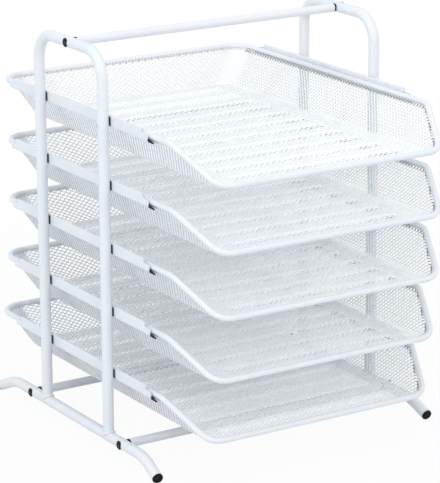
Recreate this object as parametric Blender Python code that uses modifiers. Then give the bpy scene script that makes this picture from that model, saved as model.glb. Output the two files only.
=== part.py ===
"""Tiered letter rack: two bent-tube side frames, three crossbars and mesh trays that slide in rails.

Sizes are in millimetres. Along Y, the uprights stand evenly about a frame centre, and the whole
rack is then shifted so that its bounding box is centred on the origin. The front faces -Y.
"""
import math

import bmesh
import bpy
from mathutils import Vector

MM = 0.001

# Side frames, measured between tube axes
RACK_WIDTH = 290.0
UPRIGHT_SPACING = 115.0
TUBE_RADIUS = 5.0
HOOP_BEND_RADIUS = 25.0
TOP_HEADROOM = 55.4
SEAT_GAP = 0.3

# Base tubes and feet
BASE_OVERHANG = 24.5
FOOT_BEND_RADIUS = 60.0
FOOT_BEND_ANGLE = math.radians(24.0)
FOOT_SPLAY_ANGLE = math.radians(10.0)
FOOT_STRAIGHT = 14.3
FOOT_BORE_RADIUS = 3.5
FOOT_BORE_DEPTH = 11.0
CAP_RADIUS = 5.0
CAP_COLLAR = 1.2
CAP_DOME = 2.4
CAP_FLAT_DEPTH = 0.5
CAP_PLUG_CLEARANCE = 0.3
CAP_PLUG_LENGTH = 9.0

# Crossbars, bolts and saddle washers
BAR_RADIUS = 4.0
BASE_BAR_OFFSET = 26.0
BOLT_SHANK_RADIUS = 2.0
BOLT_HOLE_CLEARANCE = 0.3
BOLT_HEAD_RADIUS = 4.2
BOLT_HEAD_HEIGHT = 1.9
BOLT_HEAD_EDGE = 0.6
BOLT_SEAT_DEPTH = 1.2
BOLT_BITE = 12.0
WASHER_RADIUS = 4.2
WASHER_THICKNESS = 1.2
WASHER_WRAP = 0.6

# Rails of folded sheet
TIERS = 5
TIER_PITCH = 58.3
LOWEST_RAIL_HEIGHT = 54.0
RAIL_SHEET = 1.0
RAIL_HEIGHT = 10.6
RAIL_LEDGE = 6.4
RAIL_HEM_WIDTH = 2.3
RAIL_HEM_LIP = 2.4
RAIL_REAR_REACH = 69.5
RAIL_CUTBACK = 10.0
RAIL_NOSE_HEIGHT = 6.5
BUMPER_LENGTH = 9.0
BUMPER_TO_TRAY_BEND = 20.7
BUMPER_WIDTH = 1.3
BUMPER_LEG_LENGTH = 2.0
BUMPER_LEG_HEIGHT = 3.6

# Trays: rim wire and pressed pan
RIM_RADIUS = 2.75
RIM_SIDE_CLEARANCE = 0.95
RIM_RIDE_GAP = 0.35
TRAY_REAR_OVERHANG = 27.3
TRAY_LENGTH = 355.3
TRAY_DEPTH = 33.6
TRAY_SLOPE_LENGTH = 47.0
TRAY_FRONT_DROP = 31.0
WALL_DRAFT = 0.63
REAR_WALL_DRAFT = 0.25
RIM_REAR_CORNER = 22.0
RIM_BEND_REACH = 5.0
RIM_FRONT_CORNER = 13.0
FLOOR_REAR_CORNER = 20.0
FLOOR_FRONT_CORNER = 9.0
PAN_SHEET = 0.8
PAN_EDGE_INSET = 3.6
PAN_EDGE_DROP = 1.6
RIB_PITCH = 29.0
RIB_WIDTH = 12.0
RIB_HEIGHT = 1.6
RIB_TAPER = 3.0
RIB_END_MARGIN = 22.0
RIB_ROOT = 0.4

# Openings that lighten the pans, with the bars between them
FLOOR_COLUMNS = 5
FLOOR_BAR = 5.0
FLOOR_SIDE_MARGIN = 9.0
FLOOR_END_MARGIN = 2.5
OPENING_TO_RIB = 1.0
WALL_BAR = 4.0
WALL_TOP_MARGIN = 5.0
WALL_FLOOR_MARGIN = 4.0
CUT_REACH = 1.0

# How far each tray, from the top down, is pushed back from its usual place
TRAY_PUSH_BACK = (0.0, -2.0, 0.0, 7.0, 17.0)

# Facets
TUBE_BEVEL_RESOLUTION = 4
ROUND_STEPS = 20
BEND_STEPS = 7
CORNER_STEPS = 5
SOFT_BEND_STEPS = 2

# Places worked out from the sizes above
FRAME_X = RACK_WIDTH / 2
UPRIGHT_Y = UPRIGHT_SPACING / 2
BASE_BAR_Y = UPRIGHT_Y + BASE_BAR_OFFSET
FOOT_BEND_Y = BASE_BAR_Y + BASE_OVERHANG
FOOT_BEND_FALL = FOOT_BEND_RADIUS * (1 - math.cos(FOOT_BEND_ANGLE)) + FOOT_STRAIGHT * math.sin(FOOT_BEND_ANGLE)
FOOT_DROP = FOOT_BEND_FALL * math.cos(FOOT_SPLAY_ANGLE)
FOOT_SPREAD = FOOT_BEND_FALL * math.sin(FOOT_SPLAY_ANGLE)
FOOT_RUN = FOOT_BEND_RADIUS * math.sin(FOOT_BEND_ANGLE) + FOOT_STRAIGHT * math.cos(FOOT_BEND_ANGLE)
CAP_SEAT = SEAT_GAP + CAP_COLLAR
CAP_DIP = math.sin(FOOT_BEND_ANGLE) * math.cos(FOOT_SPLAY_ANGLE)
CAP_UNDERSIDE = math.hypot(CAP_DOME * CAP_DIP, CAP_RADIUS * math.sqrt(1 - CAP_DIP ** 2))
BASE_Z = FOOT_DROP + CAP_SEAT * CAP_DIP + CAP_UNDERSIDE - CAP_FLAT_DEPTH
TOP_RAIL_BOTTOM_Z = BASE_Z + LOWEST_RAIL_HEIGHT + (TIERS - 1) * TIER_PITCH
TOP_Z = TOP_RAIL_BOTTOM_Z + RAIL_HEIGHT + TOP_HEADROOM
RAIL_X = FRAME_X - TUBE_RADIUS - SEAT_GAP
RAIL_REAR_Y = UPRIGHT_Y + RAIL_REAR_REACH
WASHER_X = RAIL_X - WASHER_THICKNESS
BAR_END_X = WASHER_X - SEAT_GAP
BOLT_SEAT_X = FRAME_X + TUBE_RADIUS - BOLT_SEAT_DEPTH + SEAT_GAP
BOLT_TIP_X = BAR_END_X - BOLT_BITE
BOLT_HOLE_RADIUS = BOLT_SHANK_RADIUS + BOLT_HOLE_CLEARANCE
RIM_X = RAIL_X - RAIL_SHEET - RIM_SIDE_CLEARANCE - RIM_RADIUS
RIM_HEIGHT = RAIL_SHEET + RIM_RIDE_GAP + RIM_RADIUS
RIM_FRONT_X = RIM_X - WALL_DRAFT * TRAY_FRONT_DROP
TRAY_REAR_Y = RAIL_REAR_Y + TRAY_REAR_OVERHANG
TRAY_BEND_Y = -(TRAY_LENGTH - TRAY_SLOPE_LENGTH)
RAIL_FRONT_Y = TRAY_REAR_Y + TRAY_BEND_Y + BUMPER_TO_TRAY_BEND + BUMPER_LENGTH + SEAT_GAP
BUMPER_FRONT_Y = RAIL_FRONT_Y - SEAT_GAP - BUMPER_LENGTH
TONGUE_X = RAIL_X - BUMPER_WIDTH - SEAT_GAP
FLOOR_SETBACK = PAN_EDGE_INSET + WALL_DRAFT * (TRAY_DEPTH - PAN_EDGE_DROP)
FLOOR_X = RIM_X - FLOOR_SETBACK
FLOOR_REAR_Y = -PAN_EDGE_INSET - REAR_WALL_DRAFT * (TRAY_DEPTH - PAN_EDGE_DROP)
FLOOR_FRONT_Y = PAN_EDGE_INSET + WALL_DRAFT * (TRAY_DEPTH - PAN_EDGE_DROP - TRAY_FRONT_DROP) - TRAY_LENGTH
REACH_FRONT = min(TRAY_REAR_Y + min(TRAY_PUSH_BACK) - TRAY_LENGTH - RIM_RADIUS, -FOOT_BEND_Y - FOOT_RUN)
REACH_REAR = max(TRAY_REAR_Y + max(TRAY_PUSH_BACK) + RIM_RADIUS, FOOT_BEND_Y + FOOT_RUN)
SHIFT_Y = -(REACH_FRONT + REACH_REAR) / 2

SIDES = (("left", -1), ("right", 1))
ENDS = (("front", -1), ("rear", 1))


def world(x, y, z):
    """Point in metres from frame coordinates in millimetres."""
    return Vector((x, y + SHIFT_Y, z)) * MM


def clear_scene():
    """Remove every object that the session starts with."""
    for item in list(bpy.data.objects):
        bpy.data.objects.remove(item)


def make_collection(name):
    """Add a collection under the scene's own."""
    group = bpy.data.collections.new(name)
    bpy.context.scene.collection.children.link(group)
    return group


def make_material(name, colour, roughness, metallic):
    """Principled material with a plain colour."""
    made = bpy.data.materials.new(name)
    made.use_nodes = True
    shader = made.node_tree.nodes["Principled BSDF"]
    shader.inputs["Base Color"].default_value = (*colour, 1.0)
    shader.inputs["Roughness"].default_value = roughness
    shader.inputs["Metallic"].default_value = metallic
    return made


clear_scene()
PARTS = make_collection("mesh_tray_rack")
CUTTERS = make_collection("cutters")
WHITE = make_material("white_powder_coat", (0.86, 0.87, 0.89), 0.35, 0.0)
MESH_WHITE = make_material("white_mesh", (0.82, 0.83, 0.85), 0.45, 0.0)
BLACK = make_material("black_plastic", (0.015, 0.015, 0.017), 0.3, 0.0)
BLACK_STEEL = make_material("black_bolt", (0.02, 0.02, 0.022), 0.25, 0.3)


def add_part(name, mesh, finish, location=(0.0, 0.0, 0.0)):
    """Link a mesh as one named sub-part."""
    mesh.materials.clear()
    mesh.materials.append(finish)
    part = bpy.data.objects.new(name, mesh)
    part.location = location
    PARTS.objects.link(part)
    return part


def add_cutter(name, mesh):
    """Link a mesh as a hidden cutting body."""
    cutter = bpy.data.objects.new(name, mesh)
    cutter.hide_render = True
    cutter.display_type = "WIRE"
    CUTTERS.objects.link(cutter)
    return cutter


def smooth(mesh, angle=math.radians(40.0)):
    """Shade a round piece smooth, with its real edges left sharp."""
    mesh.shade_smooth()
    mesh.set_sharp_from_angle(angle=angle)


def combine(part, other, operation="DIFFERENCE"):
    """Cut or join another body with an exact Boolean."""
    change = part.modifiers.new(operation.lower() + "_" + other.name, "BOOLEAN")
    change.operation = operation
    change.solver = "EXACT"
    change.object = other


def mesh_from_bmesh(name, body):
    """Turn a bmesh into a mesh with outward faces."""
    bmesh.ops.recalc_face_normals(body, faces=body.faces)
    mesh = bpy.data.meshes.new(name)
    body.to_mesh(mesh)
    body.free()
    return mesh


def rounded_path(corners, closed=False):
    """Points along straight runs with rounded corners.

    Each corner is (point, reach, steps): the rounding starts and ends at reach from the point.
    A corner that doesn't turn keeps evenly spaced points, so that loops stay matched.
    """
    points = []
    count = len(corners)
    for index, (corner, reach, steps) in enumerate(corners):
        if not closed and index in (0, count - 1):
            points.append(corner)
            continue
        along = (corner - corners[index - 1][0]).normalized()
        onward = (corners[(index + 1) % count][0] - corner).normalized()
        turn = along.angle(onward)
        start = corner - along * reach
        if turn < 1e-4:
            points.extend(start + along * (2 * reach * step / steps) for step in range(steps + 1))
            continue
        radius = reach / math.tan(turn / 2)
        inward = (onward - along * along.dot(onward)).normalized()
        for step in range(steps + 1):
            angle = turn * step / steps
            points.append(start + inward * radius * (1 - math.cos(angle)) + along * radius * math.sin(angle))
    return points


def tube_mesh(name, points, radius, closed=False):
    """Round tube along points, with flat filled ends."""
    curve = bpy.data.curves.new(name, "CURVE")
    curve.dimensions = "3D"
    curve.bevel_depth = radius * MM
    curve.bevel_resolution = TUBE_BEVEL_RESOLUTION
    curve.use_fill_caps = not closed
    spline = curve.splines.new("POLY")
    spline.points.add(len(points) - 1)
    for place, point in zip(spline.points, points):
        place.co = (*point, 1.0)
    spline.use_cyclic_u = closed
    carrier = bpy.data.objects.new(name, curve)
    mesh = bpy.data.meshes.new_from_object(carrier)
    bpy.data.objects.remove(carrier)
    body = bmesh.new()
    body.from_mesh(mesh)
    bpy.data.meshes.remove(mesh)
    bmesh.ops.remove_doubles(body, verts=body.verts, dist=0.001 * MM)
    return mesh_from_bmesh(name, body)


def cylinder_mesh(name, start, end, radius):
    """Straight round bar between two points in metres."""
    body = bmesh.new()
    axis = end - start
    bmesh.ops.create_cone(
        body, cap_ends=True, segments=ROUND_STEPS, radius1=radius * MM, radius2=radius * MM, depth=axis.length
    )
    turn = axis.to_track_quat("Z", "Y").to_matrix().to_4x4()
    bmesh.ops.transform(body, matrix=turn, verts=body.verts)
    bmesh.ops.translate(body, vec=(start + end) / 2, verts=body.verts)
    return mesh_from_bmesh(name, body)


def add_box(body, low, high):
    """Add a box between two corners in millimetres to a bmesh."""
    corners = bmesh.ops.create_cube(body, size=MM)["verts"]
    bmesh.ops.scale(body, vec=Vector(high) - Vector(low), verts=corners)
    bmesh.ops.translate(body, vec=(Vector(low) + Vector(high)) * (MM / 2), verts=corners)


def turned_part(name, profile, finish, location, direction):
    """Body turned about its own Z by a Screw, then pointed along a direction.

    The profile lists (radius, height) from the top down, in millimetres.
    """
    mesh = bpy.data.meshes.new(name)
    points = [(radius * MM, 0.0, height * MM) for radius, height in profile]
    mesh.from_pydata(points, [(index, index + 1) for index in range(len(points) - 1)], [])
    part = add_part(name, mesh, finish, location)
    part.rotation_mode = "QUATERNION"
    part.rotation_quaternion = Vector(direction).to_track_quat("Z", "Y")
    turn = part.modifiers.new("turn", "SCREW")
    turn.axis = "Z"
    turn.steps = ROUND_STEPS
    turn.render_steps = ROUND_STEPS
    turn.use_merge_vertices = True
    turn.merge_threshold = 0.001 * MM
    turn.use_smooth_shade = True
    return part


def dome(radius, height, base):
    """Profile points of a rounded top, from its crown down to its edge at base."""
    steps = 4
    angles = [math.pi / 2 * index / steps for index in range(steps + 1)]
    return [(radius * math.sin(angle), base + height * math.cos(angle)) for angle in angles]


def sheet_part(name, rows, side, thickness, finish):
    """Folded sheet: faces given by outer points on the right side, mirrored for the left."""
    points = []
    faces = []
    for row in rows:
        face = []
        for x, y, z in row:
            point = tuple(world(side * x, y, z))
            if point not in points:
                points.append(point)
            face.append(points.index(point))
        faces.append(face if side > 0 else face[::-1])
    mesh = bpy.data.meshes.new(name)
    mesh.from_pydata(points, [], faces)
    part = add_part(name, mesh, finish)
    fold = part.modifiers.new("thickness", "SOLIDIFY")
    fold.thickness = thickness * MM
    fold.offset = -1.0
    fold.use_even_offset = True
    return part


def rail_bottom(tier):
    """Height of a rail's underside, counting tiers from the top."""
    return TOP_RAIL_BOTTOM_Z - tier * TIER_PITCH


def make_cutters():
    """Bolt holes and head seats, saddles around the side tubes, foot bores and the ground."""
    cutters = {}
    for label, y, z in bar_places():
        start = world(-BOLT_SEAT_X, y, z)
        end = world(BOLT_SEAT_X, y, z)
        name = label + "_bolt_hole"
        cutters[name] = add_cutter(name, cylinder_mesh(name, start, end, BOLT_HOLE_RADIUS))
        for side_name, side in SIDES:
            name = f"{side_name}_{label}_head_seat"
            start = world(side * (BOLT_SEAT_X - SEAT_GAP), y, z)
            end = world(side * (FRAME_X + 2 * TUBE_RADIUS), y, z)
            cutters[name] = add_cutter(name, cylinder_mesh(name, start, end, BOLT_HEAD_RADIUS + SEAT_GAP))
    for side_name, side in SIDES:
        for level, z in (("base", BASE_Z), ("top", TOP_Z)):
            name = f"{side_name}_{level}_saddle"
            start = world(side * FRAME_X, -FOOT_BEND_Y, z)
            end = world(side * FRAME_X, FOOT_BEND_Y, z)
            cutters[name] = add_cutter(name, cylinder_mesh(name, start, end, TUBE_RADIUS + SEAT_GAP))
        for end_name, end_sign in ENDS:
            name = f"{side_name}_{end_name}_foot_bore"
            tip, direction = foot_tip(side, end_sign)
            start = tip - direction * (FOOT_BORE_DEPTH * MM)
            end = tip + direction * (CAP_RADIUS * MM)
            cutters[name] = add_cutter(name, cylinder_mesh(name, start, end, FOOT_BORE_RADIUS))
    ground = bmesh.new()
    half_x = FRAME_X + 2 * CAP_RADIUS
    half_y = (REACH_REAR - REACH_FRONT) / 2
    add_box(ground, (-half_x, -half_y, -CAP_RADIUS), (half_x, half_y, 0.0))
    cutters["ground"] = add_cutter("ground", mesh_from_bmesh("ground", ground))
    return cutters


def bar_places():
    """Name, Y and Z of each crossbar's axis."""
    return (("top", 0.0, TOP_Z), ("base_front", -BASE_BAR_Y, BASE_Z), ("base_rear", BASE_BAR_Y, BASE_Z))


def foot_tip(side, end_sign):
    """End point of a base tube in metres, and the way that it points."""
    tip = world(side * (FRAME_X + FOOT_SPREAD), end_sign * (FOOT_BEND_Y + FOOT_RUN), BASE_Z - FOOT_DROP)
    outward = side * math.sin(FOOT_BEND_ANGLE) * math.sin(FOOT_SPLAY_ANGLE)
    return tip, Vector((outward, end_sign * math.cos(FOOT_BEND_ANGLE), -CAP_DIP))


def make_hoops(cutters):
    """One bent tube a side: front upright, top rail and rear upright, coped onto the base tube."""
    for side_name, side in SIDES:
        x = side * FRAME_X
        bend = HOOP_BEND_RADIUS * MM
        path = rounded_path([
            (world(x, -UPRIGHT_Y, BASE_Z), 0.0, 0),
            (world(x, -UPRIGHT_Y, TOP_Z), bend, BEND_STEPS),
            (world(x, UPRIGHT_Y, TOP_Z), bend, BEND_STEPS),
            (world(x, UPRIGHT_Y, BASE_Z), 0.0, 0),
        ])
        mesh = tube_mesh(side_name + "_hoop", path, TUBE_RADIUS)
        smooth(mesh)
        hoop = add_part(side_name + "_hoop", mesh, WHITE)
        combine(hoop, cutters[side_name + "_base_saddle"])
        combine(hoop, cutters["top_bolt_hole"])
        combine(hoop, cutters[side_name + "_top_head_seat"])


def make_base_tubes(cutters):
    """One tube a side, with both ends bent down and a little outwards, and bored for the caps."""
    for side_name, side in SIDES:
        x = side * FRAME_X
        bend = FOOT_BEND_RADIUS * math.tan(FOOT_BEND_ANGLE / 2)
        front_tip, _ = foot_tip(side, -1)
        rear_tip, _ = foot_tip(side, 1)
        path = rounded_path([
            (front_tip, 0.0, 0),
            (world(x, -FOOT_BEND_Y - bend, BASE_Z), bend * MM, BEND_STEPS),
            (world(x, FOOT_BEND_Y + bend, BASE_Z), bend * MM, BEND_STEPS),
            (rear_tip, 0.0, 0),
        ])
        mesh = tube_mesh(side_name + "_base_tube", path, TUBE_RADIUS)
        smooth(mesh)
        tube = add_part(side_name + "_base_tube", mesh, WHITE)
        for end_name, _ in ENDS:
            combine(tube, cutters[f"{side_name}_{end_name}_foot_bore"])
            combine(tube, cutters[f"base_{end_name}_bolt_hole"])
            combine(tube, cutters[f"{side_name}_base_{end_name}_head_seat"])


def make_foot_caps(cutters):
    """Plugs in the tube ends, with a low dome and a small flat where they stand."""
    plug_radius = FOOT_BORE_RADIUS - CAP_PLUG_CLEARANCE
    profile = dome(CAP_RADIUS, CAP_DOME, CAP_COLLAR)
    profile += [(CAP_RADIUS, 0.0), (plug_radius, 0.0), (plug_radius, -CAP_PLUG_LENGTH), (0.0, -CAP_PLUG_LENGTH)]
    for side_name, side in SIDES:
        for end_name, end_sign in ENDS:
            tip, direction = foot_tip(side, end_sign)
            seat = tip + direction * (SEAT_GAP * MM)
            cap = turned_part(f"{side_name}_{end_name}_foot_cap", profile, BLACK, seat, direction)
            combine(cap, cutters["ground"])


def make_crossbars(cutters):
    """Hollow bars between the side frames."""
    for label, y, z in bar_places():
        mesh = cylinder_mesh(label + "_crossbar", world(-BAR_END_X, y, z), world(BAR_END_X, y, z), BAR_RADIUS)
        smooth(mesh)
        bar = add_part(label + "_crossbar", mesh, WHITE)
        combine(bar, cutters[label + "_bolt_hole"])


def make_washers(cutters):
    """Saddle washers, flat against the crossbar's end and hollowed to the side tube."""
    length = WASHER_THICKNESS + WASHER_WRAP
    for label, y, z in bar_places():
        level = label.split("_")[0]
        for side_name, side in SIDES:
            start = world(side * WASHER_X, y, z)
            end = world(side * (WASHER_X + length), y, z)
            name = f"{side_name}_{label}_washer"
            mesh = cylinder_mesh(name, start, end, WASHER_RADIUS)
            smooth(mesh)
            washer = add_part(name, mesh, BLACK)
            combine(washer, cutters[f"{side_name}_{level}_saddle"])
            combine(washer, cutters[label + "_bolt_hole"])


def make_bolts():
    """Button-head bolts that pass through the side tube and washer into the crossbar."""
    shank = BOLT_SEAT_X - BOLT_TIP_X
    profile = dome(BOLT_HEAD_RADIUS, BOLT_HEAD_HEIGHT - BOLT_HEAD_EDGE, BOLT_HEAD_EDGE)
    profile += [(BOLT_HEAD_RADIUS, 0.0), (BOLT_SHANK_RADIUS, 0.0), (BOLT_SHANK_RADIUS, -shank), (0.0, -shank)]
    for label, y, z in bar_places():
        for side_name, side in SIDES:
            seat = world(side * BOLT_SEAT_X, y, z)
            turned_part(f"{side_name}_{label}_bolt", profile, BLACK_STEEL, seat, (side, 0.0, 0.0))


def rail_rows(bottom):
    """Outer faces of a right-hand rail: ledge and its tongue, web, top hem and its turned-down lip."""
    top = bottom + RAIL_HEIGHT
    nose = bottom + RAIL_NOSE_HEIGHT
    front = RAIL_FRONT_Y
    rear = RAIL_REAR_Y
    top_front = front + RAIL_CUTBACK
    top_rear = rear - RAIL_CUTBACK
    ledge_x = RAIL_X - RAIL_LEDGE
    hem_x = RAIL_X - RAIL_HEM_WIDTH
    strip = [
        (RAIL_X, front, bottom), (TONGUE_X, front, bottom),
        (TONGUE_X, rear, bottom), (RAIL_X, rear, bottom),
    ]
    ledge = [
        (TONGUE_X, front, bottom), (ledge_x, front, bottom),
        (ledge_x, rear, bottom), (TONGUE_X, rear, bottom),
    ]
    tongue = [
        (TONGUE_X, BUMPER_FRONT_Y, bottom), (ledge_x, BUMPER_FRONT_Y, bottom),
        (ledge_x, front, bottom), (TONGUE_X, front, bottom),
    ]
    web = [
        (RAIL_X, front, bottom), (RAIL_X, rear, bottom), (RAIL_X, rear, nose), (RAIL_X, top_rear, nose),
        (RAIL_X, top_rear, top), (RAIL_X, top_front, top), (RAIL_X, top_front, nose), (RAIL_X, front, nose),
    ]
    hem = [(RAIL_X, top_front, top), (RAIL_X, top_rear, top), (hem_x, top_rear, top), (hem_x, top_front, top)]
    lip_z = top - RAIL_HEM_LIP
    lip = [(hem_x, top_front, top), (hem_x, top_rear, top), (hem_x, top_rear, lip_z), (hem_x, top_front, lip_z)]
    return [strip, ledge, tongue, web, hem, lip]


def bumper_rows(bottom):
    """Outer faces of a right-hand bumper: a strip beside the tongue and a leg ahead of the web."""
    rear = RAIL_FRONT_Y - SEAT_GAP
    front = BUMPER_FRONT_Y
    leg = rear - BUMPER_LEG_LENGTH
    top = bottom + BUMPER_LEG_HEIGHT
    inner = RAIL_X - BUMPER_WIDTH
    nose = [(RAIL_X, front, bottom), (inner, front, bottom), (inner, leg, bottom), (RAIL_X, leg, bottom)]
    root = [(RAIL_X, leg, bottom), (inner, leg, bottom), (inner, rear, bottom), (RAIL_X, rear, bottom)]
    upright = [(RAIL_X, leg, bottom), (RAIL_X, rear, bottom), (RAIL_X, rear, top), (RAIL_X, leg, top)]
    return [nose, root, upright]


def make_rails():
    """A rail and its front bumper on both sides of each tier."""
    for tier in range(TIERS):
        bottom = rail_bottom(tier)
        for side_name, side in SIDES:
            sheet_part(f"{side_name}_rail_{tier + 1}", rail_rows(bottom), side, RAIL_SHEET, WHITE)
            sheet_part(f"{side_name}_bumper_{tier + 1}", bumper_rows(bottom), side, RAIL_SHEET, BLACK)


def tray_loop(rear, bend, front, reaches):
    """Closed loop around a tray, from the points of its right half: rear, bend and front corner."""
    steps = (CORNER_STEPS, SOFT_BEND_STEPS, CORNER_STEPS)
    corners = zip((rear, bend, front), reaches, steps)
    right = [(Vector(point) * MM, reach * MM, count) for point, reach, count in corners]
    left = [(Vector((-point.x, point.y, point.z)), reach, count) for point, reach, count in reversed(right)]
    return rounded_path(right + left, closed=True)


def rim_loop():
    """Centre line of the rim wire: level at the back and sides, then down and in to the front."""
    return tray_loop(
        (RIM_X, 0.0, 0.0),
        (RIM_X, TRAY_BEND_Y, 0.0),
        (RIM_FRONT_X, -TRAY_LENGTH, -TRAY_FRONT_DROP),
        (RIM_REAR_CORNER, RIM_BEND_REACH, RIM_FRONT_CORNER),
    )


def pan_edge_loop():
    """Upper edge of the pan, just inside and below the rim wire."""
    inset = PAN_EDGE_INSET
    return tray_loop(
        (RIM_X - inset, -inset, -PAN_EDGE_DROP),
        (RIM_X - inset, TRAY_BEND_Y, -PAN_EDGE_DROP),
        (RIM_FRONT_X - inset, inset - TRAY_LENGTH, -TRAY_FRONT_DROP - PAN_EDGE_DROP),
        (RIM_REAR_CORNER - inset, RIM_BEND_REACH, RIM_FRONT_CORNER - inset),
    )


def floor_loop():
    """Outline of the pan's floor."""
    return tray_loop(
        (FLOOR_X, FLOOR_REAR_Y, -TRAY_DEPTH),
        (FLOOR_X, TRAY_BEND_Y, -TRAY_DEPTH),
        (FLOOR_X, FLOOR_FRONT_Y, -TRAY_DEPTH),
        (FLOOR_REAR_CORNER, RIM_BEND_REACH, FLOOR_FRONT_CORNER),
    )


def pan_mesh():
    """Open skin of the pan, facing into the tray: a wall between two loops, and the floor."""
    edge = pan_edge_loop()
    floor = floor_loop()
    count = len(edge)
    faces = [(index, (index + 1) % count, count + (index + 1) % count, count + index) for index in range(count)]
    faces.append(tuple(range(count, 2 * count)))
    mesh = bpy.data.meshes.new("tray_pan")
    mesh.from_pydata(edge + floor, [], faces)
    if mesh.polygons[count].normal.z < 0:
        mesh.flip_normals()
    return mesh


def rib_places():
    """Y of each cross rib, spaced evenly about the middle of the floor."""
    front = FLOOR_FRONT_Y + RIB_WIDTH
    rear = FLOOR_REAR_Y - RIB_WIDTH
    count = int((rear - front) // RIB_PITCH) + 1
    first = (front + rear) / 2 - (count - 1) * RIB_PITCH / 2
    return [first + index * RIB_PITCH for index in range(count)]


def rib_mesh():
    """All cross ribs of one pan: low bars with sloping sides, rooted in the floor sheet."""
    body = bmesh.new()
    half_length = FLOOR_X - RIB_END_MARGIN
    low = -TRAY_DEPTH - RIB_ROOT
    high = -TRAY_DEPTH + RIB_HEIGHT
    for y in rib_places():
        rings = []
        for z, shrink in ((low, 0.0), (high, RIB_TAPER)):
            x = half_length - shrink
            half = RIB_WIDTH / 2 - shrink
            outline = ((-x, y - half), (x, y - half), (x, y + half), (-x, y + half))
            rings.append([body.verts.new(Vector((px, py, z)) * MM) for px, py in outline])
        body.faces.new(rings[0])
        body.faces.new(rings[1])
        for index in range(4):
            onward = (index + 1) % 4
            body.faces.new((rings[0][index], rings[0][onward], rings[1][onward], rings[1][index]))
    return mesh_from_bmesh("tray_ribs", body)


def opening_columns():
    """Left and right end of each column of openings, spaced evenly across the floor."""
    half = FLOOR_X - FLOOR_SIDE_MARGIN
    pitch = (2 * half + FLOOR_BAR) / FLOOR_COLUMNS
    lefts = [index * pitch - half for index in range(FLOOR_COLUMNS)]
    return [(left, left + pitch - FLOOR_BAR) for left in lefts]


def cut_floor(body):
    """Add the floor's cutting boxes: a row between each two ribs, and a narrower row at either end."""
    ribs = rib_places()
    reach = RIB_WIDTH / 2 + OPENING_TO_RIB
    columns = opening_columns()
    rows = [(ahead + reach, behind - reach, columns) for ahead, behind in zip(ribs, ribs[1:])]
    rows.append((FLOOR_FRONT_Y + FLOOR_END_MARGIN, ribs[0] - reach, columns[1:-1]))
    rows.append((ribs[-1] + reach, FLOOR_REAR_Y - FLOOR_END_MARGIN, columns[1:-1]))
    low = -TRAY_DEPTH - PAN_SHEET - CUT_REACH
    high = -TRAY_DEPTH + CUT_REACH
    for front, rear, places in rows:
        for left, right in places:
            add_box(body, (left, front, low), (right, rear, high))


def cut_walls(body):
    """Add the walls' cutting boxes: through both sides between the ribs, and through the rear."""
    low = -TRAY_DEPTH + WALL_FLOOR_MARGIN
    high = -PAN_EDGE_DROP - WALL_TOP_MARGIN
    ribs = rib_places()
    for ahead, behind in zip(ribs, ribs[1:]):
        front = ahead + WALL_BAR / 2
        rear = behind - WALL_BAR / 2
        fall = max(0.0, TRAY_BEND_Y - front) / TRAY_SLOPE_LENGTH * TRAY_FRONT_DROP
        if high - fall > low + WALL_BAR:
            add_box(body, (-RIM_X, front, low), (RIM_X, rear, high - fall))
    for left, right in opening_columns():
        add_box(body, (left, FLOOR_REAR_Y - RIB_WIDTH, low), (right, RIM_RADIUS, high))


def opening_mesh():
    """Cutting boxes of one pan's openings."""
    body = bmesh.new()
    cut_floor(body)
    cut_walls(body)
    return mesh_from_bmesh("tray_openings", body)


def make_trays():
    """Rim and pan of each tray, with their origin at the middle of the rim's rear edge."""
    rim = tube_mesh("tray_rim", rim_loop(), RIM_RADIUS, closed=True)
    smooth(rim)
    pan = pan_mesh()
    for tier, push_back in enumerate(TRAY_PUSH_BACK):
        origin = world(0.0, TRAY_REAR_Y + push_back, rail_bottom(tier) + RIM_HEIGHT)
        add_part(f"tray_{tier + 1}_rim", rim.copy(), WHITE, origin)
        tray = add_part(f"tray_{tier + 1}_pan", pan.copy(), MESH_WHITE, origin)
        sheet = tray.modifiers.new("sheet", "SOLIDIFY")
        sheet.thickness = PAN_SHEET * MM
        sheet.offset = -1.0
        sheet.use_even_offset = True
        ribs = add_cutter(f"tray_{tier + 1}_ribs", rib_mesh())
        ribs.location = origin
        combine(tray, ribs, "UNION")
        openings = add_cutter(f"tray_{tier + 1}_openings", opening_mesh())
        openings.location = origin
        combine(tray, openings)
    bpy.data.meshes.remove(rim)
    bpy.data.meshes.remove(pan)


def main():
    """Build the whole rack."""
    cutters = make_cutters()
    make_hoops(cutters)
    make_base_tubes(cutters)
    make_foot_caps(cutters)
    make_crossbars(cutters)
    make_washers(cutters)
    make_bolts()
    make_rails()
    make_trays()
    bpy.context.view_layer.update()


main()
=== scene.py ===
"""Looks of a tiered letter rack: white coated tubes, folded rails and sliding trays of expanded mesh.

Sizes are in millimetres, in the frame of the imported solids: x to the right, y to the back, z up from the
ground. They become metres where a mesh is written. The studio's places and lengths are metres already.
"""
import logging
import math
from collections.abc import Mapping, Sequence
from dataclasses import dataclass
from enum import Enum

import bpy
import numpy as np
from mathutils import Matrix, Vector


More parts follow.
